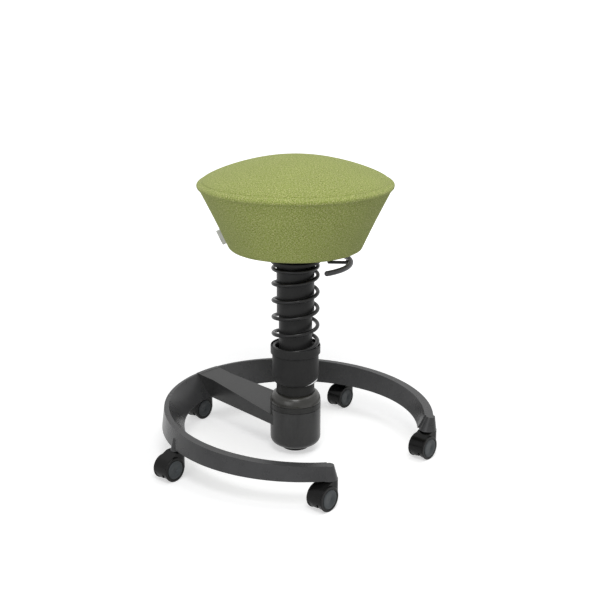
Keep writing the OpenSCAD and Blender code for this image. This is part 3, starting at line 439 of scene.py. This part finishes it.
# Radius at the rim and at the base, height of the base over the floor, and height of the side
RIM, BASE = 0.1725, 0.118
SEAT_Z, SIDE_H = 0.3881, 0.113
# Rise of the dome and of the rolled rim, and radius of the lower corner
CROWN_H, RIM_H, CORNER = 0.036, 0.0145, 0.008
# Thickness of the cloth, how far it tucks in at the seam, and the radius that its hem reaches
CLOTH_T, TUCK, HEM_R = 0.0012, 0.0034, 0.0742
# Share of the rim's radius at which the rings of crown and foam begin
FIRST_SHARE = 0.004
SEAM_Z = SEAT_Z + SIDE_H
SIDE_ANGLE = math.atan2(SIDE_H, RIM - BASE)
# Radius at which a turn round the side gives its length of cloth, and where the tag's seam stands
SIDE_MEAN_R = 0.15
TAG_AZ = math.radians(132)


def waves(angle, counts, seed):
    """Sum of cosines with random phases, one of each count round the seat, scaled to about 1."""
    r = np.random.default_rng(seed)
    total = 0
    for n in counts:
        total = total + r.uniform(0.4, 1) * np.cos(n * angle + r.uniform(0, TAU))
    return total / math.sqrt(len(counts))


def bell(distance, width):
    """1 at no distance, falling off as exp(-(distance / width)^2)."""
    return np.exp(-((distance / width) ** 2))


def puckers(angle):
    """Small folds that the stitches draw, the same in both cloths."""
    return 0.0001 * waves(angle, [61, 83, 97, 118, 139], 3)


def crown_profile(q):
    """Height of the crown over the seam at the share q of the rim's radius: a rolled rim and a low dome."""
    return RIM_H * np.sqrt(np.maximum(0, 1 - q**8)) + CROWN_H * np.maximum(0, 1 - q**2) ** 1.3


def make_crown():
    """Crown cloth: the profile at q = sin(t pi / 2) carried round the axis, with its rings crowding towards
    the rim, then tucked under into the seam. A welt swells just above the seam, and the stitches leave a dent
    over it. The weave is laid out by the length of cloth from the middle."""
    steps, rings, tuck_rings, crowding = 540, 84, 6, 1.25
    # Of the welt and of the dent: the height, the place over the seam, and the width
    welt_h, welt_z, welt_w = 0.0016, 0.0036, 0.0028
    dent_h, dent_z, dent_w = 0.0015, 0.0082, 0.0014
    # How deep the tuck hangs, how far up the puckers fade, and the sag's height and width as a share
    tuck_drop, fade_z, sag_h, sag_w = 0.0011, 0.03, 0.0007, 0.35
    t = 1 - (1 - FIRST_SHARE) * (1 - np.linspace(0, 1, rings)) ** crowding
    q = np.sin(math.pi / 2 * t)
    tuck = np.linspace(0, 1, tuck_rings + 1)[1:]
    r = np.concatenate([RIM * q, RIM - TUCK * tuck**1.2])
    z = np.concatenate([SEAM_Z + crown_profile(q), SEAM_Z - tuck_drop * np.sin(math.pi * tuck * 0.75)])
    a = TAU * np.arange(steps) / steps
    rr, aa = r[:, None] + 0 * a, a + 0 * r[:, None]
    over_seam = z[:, None] - SEAM_Z
    near_rim = rr > 0.9 * RIM
    welt = welt_h * bell(over_seam - welt_z, welt_w) * near_rim
    dent = -dent_h * bell(over_seam - dent_z, dent_w) * near_rim
    pucker = puckers(aa) * np.exp(-np.clip(over_seam / fade_z, -0.1, 3) * 3)
    sag = sag_h * waves(aa, [2, 3, 5], 5) * np.clip(rr / RIM, 0, 1) ** 2 * bell(1 - rr / RIM, sag_w)
    rr = rr + welt + dent + pucker
    zz = z[:, None] + sag * 0.7 + pucker * 0.5
    points = np.stack([rr * np.cos(aa), rr * np.sin(aa), zz], -1)
    run = np.cumsum(np.hypot(np.diff(r, prepend=0), np.diff(z, prepend=z[0])))[:, None]
    cloth = np.stack([run * np.cos(aa), run * np.sin(aa)], -1)
    middle = len(r) * steps
    fan = [[(i + 1) % steps, i, middle] for i in range(steps)]
    points = np.vstack([points.reshape(-1, 3), points[0].mean(0)])
    cloth = np.vstack([cloth.reshape(-1, 2), cloth[0].mean(0)])
    faces = grid_faces(len(r), steps) + fan
    piece = make_piece("seat_cover_crown", points, faces, crown_cloth, cloth)
    thicken(piece)
    return piece


def thicken(piece):
    """Gives the cloth its thickness inwards."""
    wall = piece.modifiers.new("wall", "SOLIDIFY")
    wall.thickness = CLOTH_T
    wall.offset = -1


def side_runs():
    """(r, z) of the side cloth in four runs: round the seam, down the side, round the lower corner, and in
    under the board's edge."""
    rim = np.array([RIM, SEAM_Z])
    seam = rim - np.array([[TUCK, 0.0006], [0.0019, 0.0003], [0.0010, 0.0012], [0.0008, 0.0026]])
    corner_r = BASE - CORNER * math.tan(SIDE_ANGLE / 2)
    side_end = [corner_r + CORNER * math.sin(SIDE_ANGLE), SEAT_Z + CORNER - CORNER * math.cos(SIDE_ANGLE)]
    first_row, line_rows, under_rim = 0.03, 36, 0.0002
    s = np.linspace(first_row, 1, line_rows)[:, None]
    down = (1 - s) * (rim - np.array([under_rim, 0])) + s * np.array(side_end)
    e = np.linspace(SIDE_ANGLE - math.pi / 2, -math.pi / 2, 16)[1:, None]
    corner = np.array([corner_r, SEAT_Z + CORNER]) + CORNER * np.hstack([np.cos(e), np.sin(e)])
    h = np.linspace(0, 1, 14)[1:, None]
    hem = np.hstack([corner_r - (corner_r - HEM_R) * h, np.full_like(h, SEAT_Z)])
    return seam, down, corner, hem


def make_side():
    """Side cloth: its runs carried round the axis, drawn in 0.9 mm at mid height, with puckers under the rim,
    slack above the corner, the tag's upright seam between two low ridges, and pleats on the hem."""
    steps = 720
    draw_h, slack_h, pleat_h = 0.0009, 0.00045, 0.0007
    # Radii down to which the side draws in and hangs slack, and over which the pleats grow inwards
    draw_r, slack_r, hem_from, hem_run = 0.119, 0.115, 0.113, 0.03
    seam_h, seam_w = 0.0011, 0.0011
    ridge_h, ridge_off, ridge_w = 0.00035, 0.0032, 0.0016
    profile = np.concatenate(side_runs())
    run = np.r_[0, np.cumsum(np.linalg.norm(np.diff(profile, axis=0), axis=1))][:, None]
    a = TAU * np.arange(steps) / steps
    r, z = profile[:, :1], profile[:, 1:]
    share = (SEAM_Z - z) / SIDE_H
    draw = -draw_h * np.sin(math.pi * np.clip(share, 0, 1)) * (r > draw_r)
    pucker = puckers(a) * bell(share, 0.09)
    slack = slack_h * waves(a, [7, 11, 16], 9) * np.clip(share, 0, 1) ** 2 * (r > slack_r)
    off_seam = np.angle(np.exp(1j * (a - TAG_AZ))) * SIDE_MEAN_R
    seam_line = -seam_h * bell(off_seam, seam_w) * (share > 0.01)
    beside = ridge_h * bell(np.abs(off_seam) - ridge_off, ridge_w)
    hem = np.clip((hem_from - r) / hem_run, 0, 1)
    pleat = -pleat_h * hem * (1 + waves(a, [38, 53, 71, 90], 12)).clip(0, 1.6)
    rr = r + draw + (pucker + slack + seam_line + beside) * (1 - hem)
    points = np.stack([rr * np.cos(a), rr * np.sin(a), z + pleat * (share > 0.98)], -1)
    cloth = np.stack([(a + 0 * r) * SIDE_MEAN_R, run + 0 * a], -1)
    faces = grid_faces(len(profile), steps, turned=True)
    piece = make_piece("seat_cover_side", points, faces, shaded_side_cloth, cloth)
    unwrap_seam(piece.data.uv_layers[0].data, TAU * SIDE_MEAN_R)
    thicken(piece)
    return piece


def unwrap_seam(uv_data, length):
    """The last column of quads takes the first column's UV one full turn further on."""
    uv = np.zeros(len(uv_data) * 2, np.float32)
    uv_data.foreach_get("uv", uv)
    quads = uv.reshape(-1, 4, 2)
    wraps = (quads[:, :, 0].max(1) - quads[:, :, 0].min(1)) > length / 2
    low = quads[:, :, 0] < length / 2
    quads[:, :, 0] += np.where(wraps[:, None] & low, length, 0)
    uv_data.foreach_set("uv", quads.ravel())


def make_foam():
    """Foam body: the cover's outline 1.8 mm further in, hollowed for the board and the gas lift's head."""
    inset, axis_room = 0.0018, 0.0006
    board_r, board_top = 0.1043, 0.4017
    head_r, head_top = 0.068, 0.4527
    q = np.sin(math.pi / 2 * np.linspace(FIRST_SHARE, 1, 60))
    crown = np.stack([(RIM - inset) * q, SEAM_Z - inset + crown_profile(q)], -1)
    down, corner = side_runs()[1:3]
    side = np.concatenate([down[2:], corner]) + np.array([-inset, 0])
    side[:, 1] = np.maximum(side[:, 1], SEAT_Z + inset)
    hollow = np.array([
        [board_r, SEAT_Z + inset], [board_r, board_top], [head_r, board_top], [head_r, head_top],
        [axis_room, head_top],
    ])
    outline = np.concatenate([crown, side, hollow])[::-1]
    return lathe("seat_foam_body", outline, 192, foam)


def make_tag():
    """Folded ribbon: a long U section, two leaves 0.7 mm apart that meet in a round fold, carried up the side
    seam, its free edge waving slightly."""
    rows, leaf_cols = 24, 14
    tag_l, tag_w, half_gap, root = 0.028, 0.0086, 0.00035, 0.0012
    above_base, fold_half = 0.008, 1.2
    curl_h, curl_run, curl_start = 0.0007, 4.2, 0.6
    along = np.linspace(0, tag_l, rows)[:, None]
    leaf = np.linspace(-root, tag_w, leaf_cols)
    fold = np.linspace(-fold_half, fold_half, 5)
    out = np.concatenate([leaf, tag_w + half_gap * np.cos(fold), leaf[::-1]])
    flat = np.full(leaf_cols, half_gap)
    aside = np.concatenate([-flat, half_gap * np.sin(fold), flat])
    curl = curl_h * np.sin(along / tag_l * curl_run + curl_start) * np.clip(out / tag_w, 0, 1) ** 2
    foot_r = BASE + above_base / math.tan(SIDE_ANGLE)
    r = foot_r + along * math.cos(SIDE_ANGLE) + out * math.sin(SIDE_ANGLE)
    z = SEAT_Z + above_base + along * math.sin(SIDE_ANGLE) - out * math.cos(SIDE_ANGLE)
    t = aside + curl
    c, s = math.cos(TAG_AZ), math.sin(TAG_AZ)
    points = np.stack([r * c - t * s, r * s + t * c, z], -1)
    return make_piece("seat_tag_ribbon", points, tube_faces(rows, len(out), turned=False), ribbon)


def make_staples():
    """Wire staples that hold the hem to the board: each a bar 9 mm long, bent up at both ends."""
    count, rings, sides = 46, 7, 6
    circle_r, half_l, wire_r = 0.0815, 0.0045, 0.0004
    leg, straight, hang, under = 0.0011, 0.75, 0.00045, 0.0001
    s = np.linspace(-1, 1, rings)
    bend = np.maximum(0, np.abs(s) - straight) / (1 - straight)
    bar = np.stack([s * half_l, 0 * s, -hang + leg * bend], -1)
    wire = tube_along(bar, wire_r, sides).reshape(-1, 3)
    rng = np.random.default_rng(7)
    a = TAU * (np.arange(count) + rng.uniform(-0.12, 0.12, count)) / count
    tilt = a + math.pi / 2 + rng.uniform(-0.2, 0.2, count)
    c, s = np.cos(tilt)[:, None], np.sin(tilt)[:, None]
    x = wire[:, 0] * c - wire[:, 1] * s + circle_r * np.cos(a)[:, None]
    y = wire[:, 0] * s + wire[:, 1] * c + circle_r * np.sin(a)[:, None]
    z = wire[:, 2] + SEAT_Z - under + 0 * x
    one = tube_faces(rings, sides)
    faces = [[i + rings * sides * k for i in face] for k in range(count) for face in one]
    return make_piece("hem_staples", np.stack([x, y, z], -1), faces, zinc)


seat_parts = {
    "cover_crown": make_crown(),
    "cover_side": make_side(),
    "seat_foam": make_foam(),
    "seat_tag": make_tag(),
}
for node, piece in seat_parts.items():
    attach(piece, "seat")
    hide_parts(node)
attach(make_staples(), "seat")


# Coil spring

# Radius of the wire and of the coil, and the gap between the wire and its seat
WIRE, COIL, SEAT_GAP = 0.0036, 0.0404, 0.0002
# Heights of the wire's centre at its ends, and climb of a closed and of an open turn
SPRING_FOOT, SPRING_HEAD = 0.1951, 0.3573
CLOSED_RISE, PITCH = 0.008, 0.0314
# A place that the wire passes in the photograph: its azimuth, and its height over the lower seat
MARK_AZ, MARK_Z = math.radians(132), 0.0359
OPEN_RISE = SPRING_HEAD - SPRING_FOOT - 2 * CLOSED_RISE
OPEN_TURNS = OPEN_RISE / PITCH
TURNS = OPEN_TURNS + 2


def make_spring():
    """Round wire on (R cos a, R sin a, h(a)): h climbs slowly on the closed end turns and by one pitch a turn
    between, with the change of climb eased."""
    turn = np.linspace(0, TURNS, int(TURNS * 84))
    knots = [0, 1, 1 + OPEN_TURNS, TURNS]
    heights = [0, CLOSED_RISE, CLOSED_RISE + OPEN_RISE, OPEN_RISE + 2 * CLOSED_RISE]
    ease = (-0.06, -0.03, 0, 0.03, 0.06)
    climb = sum(np.interp(turn + d, knots, heights) for d in ease) / len(ease)
    start = MARK_AZ - TAU * (1 + (MARK_Z - WIRE - SEAT_GAP - CLOSED_RISE) / PITCH)
    a = start + TAU * turn
    path = np.stack([COIL * np.cos(a), COIL * np.sin(a), SPRING_FOOT + climb], -1)
    return capped_tube("coil_spring_wire", path, WIRE, 20, spring_coat)


spring = make_spring()
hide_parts("coil_spring")
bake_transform(spring)


# White wedge band round the lower edge of the adjuster cup, from thin to thick

# Radius of the cup and of its neck, height of the neck, and height of the round edge between them
CUP_R, CUP_NECK_R, CUP_Z, CUP_ROUND = 0.0427, 0.035, 0.1333, 0.0167


def make_wedge():
    """White band on the cup's round lower edge r = neck + (R - neck) cos e, z = z0 + round (1 + sin e). The
    angle about Z runs from 249 to 302 degrees while e climbs from -62 to -33, and the band widens along it."""
    rows, cols = 60, 9
    face_lift, back_lift = 0.00012, 0.00003
    # In degrees: where e and a begin and how far each runs, half the band's width at its tip, and its gain
    e_from, e_run, a_from, a_run, tip, gain = -62, 29, 249, 53, 0.2, 7.5
    # Shares of the band at which its full width is reached, and over which it closes at its blunt end
    full_at, closed_at, closing = 0.62, 1.02, 0.3
    u = np.linspace(0, 1, rows)[:, None]
    v = np.linspace(-1, 1, cols)
    middle = np.radians(e_from + e_run * (1 - (1 - u) ** 1.7))
    opened = np.minimum(u / full_at, 1) ** 1.3
    half = np.radians(tip + gain * opened * np.minimum((closed_at - u) / closing, 1) ** 0.6)
    e = middle + half * np.concatenate([v, -v])
    a = np.radians(a_from + a_run * u) + 0 * e
    lift = np.repeat([face_lift, back_lift], cols)
    r = CUP_NECK_R + (CUP_R - CUP_NECK_R) * np.cos(e) + lift * np.cos(e)
    z = CUP_Z + CUP_ROUND * (1 + np.sin(e)) + lift * np.sin(e)
    points = np.stack([r * np.cos(a), r * np.sin(a), z], -1)
    return make_piece("cup_wedge_crescent", points, tube_faces(rows, 2 * cols), crescent_foil)


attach(make_wedge(), "adjuster")


# Rubber boot over the sway joint, in two halves that meet on one ring

# Radius of the housing and of the boot's lip, foot, height and wall of the dome, and a hair's gap
HOUSING_R, LIP_R = 0.0468, 0.0353
BOOT_Z, BOOT_H, BOOT_T, HAIR = 0.0966, 0.0184, 0.0024, 0.0001
# The skirt inside the clamp band: its bore, its outside and its foot
SKIRT_BORE, SKIRT_R, SKIRT_Z = 0.0415, 0.0439, 0.0852


def boot_curve(share, inset):
    """(r, z) on the boot's quarter ellipse r = lip + (R - lip) cos a, z = z0 + h sin a."""
    a = math.pi / 2 * share
    r = LIP_R + (HOUSING_R - HAIR - LIP_R - inset) * np.cos(a)
    z = BOOT_Z + inset + (BOOT_H - 2 * inset) * np.sin(a)
    return np.stack([r, z], -1)


def make_boot_half(name, low, high, skirt=(), shoulder=()):
    """A closed wall between two shares of the boot's curve. The points of a skirt come before it, and those
    of a shoulder after it."""
    share = np.linspace(low, high, 26)
    runs = [skirt, boot_curve(share, 0.0), boot_curve(share, BOOT_T)[::-1], shoulder]
    outline = np.concatenate([run for run in runs if len(run)])
    return lathe(name, outline, 160, boot_rubber)


skirt = [[SKIRT_BORE, SKIRT_Z], [SKIRT_R, SKIRT_Z], [SKIRT_R, BOOT_Z + HAIR]]
boot_lower = make_boot_half("boot_lower", 0.0, 0.5, skirt, [[SKIRT_BORE, BOOT_Z + BOOT_T]])
boot_upper = make_boot_half("boot_upper", 0.5, 0.985)
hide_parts("boot")
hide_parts("boot")
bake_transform(boot_lower)
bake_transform(boot_upper)


# Height lever's sleeve

# Azimuth of the spoke, radius and height of the arc, and half of the arc's angle
LEVER_AZ, LEVER_R, LEVER_Z = math.radians(308), 0.099, 0.3616
LEVER_HALF = math.radians(55)
# Radius of the sleeve and of the spoke's short sleeve, and that one's length
GRIP_R, SPOKE_R, SPOKE_L = 0.0048, 0.0044, 0.009


def make_grip():
    """Sleeve on the arc (R cos a, R sin a), 55 degrees to each side of the spoke, with rounded ends."""
    end_room = 0.0042
    half = LEVER_HALF - end_room / LEVER_R
    a = LEVER_AZ + np.linspace(-half, half, 120)
    path = np.stack([LEVER_R * np.cos(a), LEVER_R * np.sin(a), LEVER_Z + 0 * a], -1)
    return capped_tube("lever_grip_sleeve", path, GRIP_R, 32, grip_plastic, dome=6)


def make_grip_boss():
    """Short sleeve on the spoke, from 9 mm inside the arc to its middle, its inner end rounded."""
    rings, sides = 12, 28
    rounded_share = 0.12
    s = np.linspace(0.0, 1.0, rings)
    r = LEVER_R - SPOKE_L + SPOKE_L * s
    radius = SPOKE_R * np.sqrt(1 - np.clip(1 - s / rounded_share, 0, 1) ** 2 * 0.3)
    path = np.stack([r * math.cos(LEVER_AZ), r * math.sin(LEVER_AZ), LEVER_Z + 0 * r], -1)
    points = tube_along(path, radius, sides)
    return make_piece("lever_grip_boss", points, tube_faces(rings, sides), grip_plastic)


for piece in (make_grip(), make_grip_boss()):
    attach(piece, "lever")
    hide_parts("lever_grip")


# Castor wheels

# Radius and width of a wheel, half of the gap between the two, and how far the axle trails the stem
WHEEL_R, WHEEL_T, HALF_GAP, TRAIL = 0.022, 0.0117, 0.0059, 0.0157
# Radius of the wheel's cap, and of the bore for the axle
CAP_R, BORE_R = 0.0164, 0.00255


def wheel_section():
    """Half section of a wheel: (distance from the axle, depth from the web), with a rounded tread and a
    stepped rim."""
    step_r, rim_r = WHEEL_R - 0.0014, CAP_R + 0.0014
    shoulder, face, recess = WHEEL_T - 0.0033, WHEEL_T - 0.0008, WHEEL_T - 0.0017
    corners = [
        (BORE_R, 0.0), (step_r, 0.0), (step_r, shoulder), (WHEEL_R, shoulder),
        (WHEEL_R, face), (rim_r, face), (rim_r, recess), (BORE_R, recess),
    ]
    radii = [0.0002, 0.0012, 0.0003, 0.0005, 0.0014, 0.0007, 0.0004, 0.0002]
    return round_corners(corners, radii, 7)


def cap_section():
    """Half section of the wheel's cap: a flat face with a bevel at its edge."""
    axis_room, bevel = 0.0003, 0.0012
    back, edge, top = WHEEL_T - 0.0016, WHEEL_T - 0.0004, WHEEL_T - 0.00005
    corners = [(axis_room, back), (CAP_R, back), (CAP_R, edge), (CAP_R - bevel, top), (axis_room, top)]
    radii = [0.0, 0.0002, 0.0004, 0.0006, 0.0]
    return round_corners(corners, radii, 6)


def wheel_piece(name, section, centre, side, material):
    """The section carried round the axle: y = side (half gap + depth), x and z on circles about the axle."""
    steps = 120
    a = TAU * np.arange(steps) / steps
    r, depth = section[:, :1], section[:, 1:]
    x = centre[0] + r * np.cos(a)
    y = centre[1] + side * (HALF_GAP + depth) + 0 * a
    z = centre[2] + r * np.sin(a)
    faces = grid_faces(len(section), steps, turned=side > 0, wrap_rows=True)
    return make_piece(name, np.stack([x, y, z], -1), faces, material)


for k in range(1, 6):
    stem_low, stem_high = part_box(f"castor{k}_stem")
    stem = (stem_low + stem_high) / 2
    centre = (stem.x - TRAIL, stem.y, WHEEL_R)
    for word, body, side in (("outer", f"castor{k}_out", -1), ("inner", f"castor{k}_in", 1)):
        wheel = wheel_piece(f"castor{k}_{word}_tread", wheel_section(), centre, side, wheel_plastic)
        cap = wheel_piece(f"castor{k}_{word}_cap", cap_section(), centre, side, cap_plastic)
        for piece in (wheel, cap):
            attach(piece, body)
            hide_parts(f"castor{k}_wheel_{word}")


# Finishes of the carried-over nodes

for node, material in cad_finish.items():
    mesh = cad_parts[node].data
    mesh.materials.clear()
    mesh.materials.append(material)


# Studio


def direct_sight(tree):
    """1 on rays that come from the camera, a mirror or glass, and 0 on all others."""
    path = tree.nodes.new("ShaderNodeLightPath").outputs
    seen = path["Is Camera Ray"]
    for ray in ("Is Glossy Ray", "Is Transmission Ray"):
        most = tree.nodes.new("ShaderNodeMath")
        most.operation = "MAXIMUM"
        tree.links.new(seen, most.inputs[0])
        tree.links.new(path[ray], most.inputs[1])
        seen = most.outputs[0]
    return seen


def make_floor():
    """Flat square, 120 m wide. To the camera, mirrors and glass it glows as well: a little round the stool,
    so that its shadow stays, and up to plain white from 1.6 m away."""
    half, tone = 60.0, 0.72
    near, far, near_glow = 0.6, 1.6, 0.53
    paint = Finish("studio_floor", grey(tone), 0.9, Specular_IOR_Level=0.0)
    speckle = paint.noise(paint.place(), 300.0)
    paint.link(paint.ramp(speckle, [(0.3, grey(tone * 0.995)), (0.7, grey(tone * 1.005))]), "Base Color")
    away = paint.node("ShaderNodeVectorMath", operation="LENGTH")
    paint.fill(away.inputs[0], paint.place())
    reach = {"From Min": near, "From Max": far, "To Min": near_glow, "To Max": 1.0}
    strength = paint.node("ShaderNodeMapRange", Value=away.outputs["Value"], **reach).outputs[0]
    seen = paint.math("MULTIPLY", direct_sight(paint.tree), strength)
    glow = paint.node("ShaderNodeEmission", Strength=seen)
    added = paint.node("ShaderNodeAddShader")
    paint.fill(added.inputs[0], paint.shader.outputs[0])
    paint.fill(added.inputs[1], glow.outputs[0])
    paint.fill(paint.tree.nodes["Material Output"].inputs["Surface"], added.outputs[0])
    mesh = bpy.data.meshes.new("floor")
    corners = [(-half, -half, 0), (half, -half, 0), (half, half, 0), (-half, half, 0)]
    mesh.from_pydata(corners, [], [[0, 1, 2, 3]])
    mesh.materials.append(paint.material)
    floor = bpy.data.objects.new("floor", mesh)
    bpy.context.scene.collection.objects.link(floor)


def make_world():
    """Soft grey light all round; white to the camera, mirrors and glass."""
    world = bpy.data.worlds.new("studio")
    bpy.context.scene.world = world
    world.use_nodes = True
    tree = world.node_tree
    tree.nodes.clear()
    mixed = tree.nodes.new("ShaderNodeMixShader")
    tree.links.new(direct_sight(tree), mixed.inputs["Fac"])
    for i, (colour, strength) in enumerate((((0.98, 0.99, 1.0, 1), 0.34), (grey(1), 1.0))):
        light = tree.nodes.new("ShaderNodeBackground")
        light.inputs["Color"].default_value = colour
        light.inputs["Strength"].default_value = strength
        tree.links.new(light.outputs[0], mixed.inputs[1 + i])
    output = tree.nodes.new("ShaderNodeOutputWorld")
    tree.links.new(mixed.outputs[0], output.inputs["Surface"])


def area_lamp(name, place, aim, size, power):
    """Square soft lamp that looks at the aim."""
    lamp = bpy.data.lights.new(name, "AREA")
    lamp.shape = "SQUARE"
    lamp.size = size
    lamp.energy = power
    made = bpy.data.objects.new(name, lamp)
    bpy.context.scene.collection.objects.link(made)
    made.location = place
    made.rotation_mode = "QUATERNION"
    made.rotation_quaternion = (Vector(aim) - Vector(place)).to_track_quat("-Z", "Y")


def make_camera():
    """The photograph's view: turned from +X towards +Y and pitched down, its focal length in the photograph's
    pixels."""
    turn, pitch = math.radians(42.05), math.radians(16.24)
    focal_pixels, photo_pixels, sensor = 1157.3, 589, 36
    forward = Vector((math.cos(turn) * math.cos(pitch), math.sin(turn) * math.cos(pitch), -math.sin(pitch)))
    lens = bpy.data.cameras.new("camera")
    lens.sensor_width = sensor
    lens.lens = sensor * focal_pixels / photo_pixels
    made = bpy.data.objects.new("camera", lens)
    bpy.context.scene.collection.objects.link(made)
    made.location = (-1.4948, -1.3459, 0.8859)
    made.rotation_mode = "QUATERNION"
    made.rotation_quaternion = forward.to_track_quat("-Z", "Y")
    bpy.context.scene.camera = made


make_floor()
make_world()
area_lamp("lamp_above", (0.76, -0.39, 2.4), (0, 0, 0.3), 2.0, 21)
area_lamp("lamp_left", (-2.26, -0.3, 0.9), (0, 0, 0.4), 1.2, 9)
area_lamp("lamp_front", (-1.05, -1.0, 2.0), (0, 0, 0.2), 0.8, 20)
make_camera()
bpy.context.scene.view_settings.view_transform = "Standard"
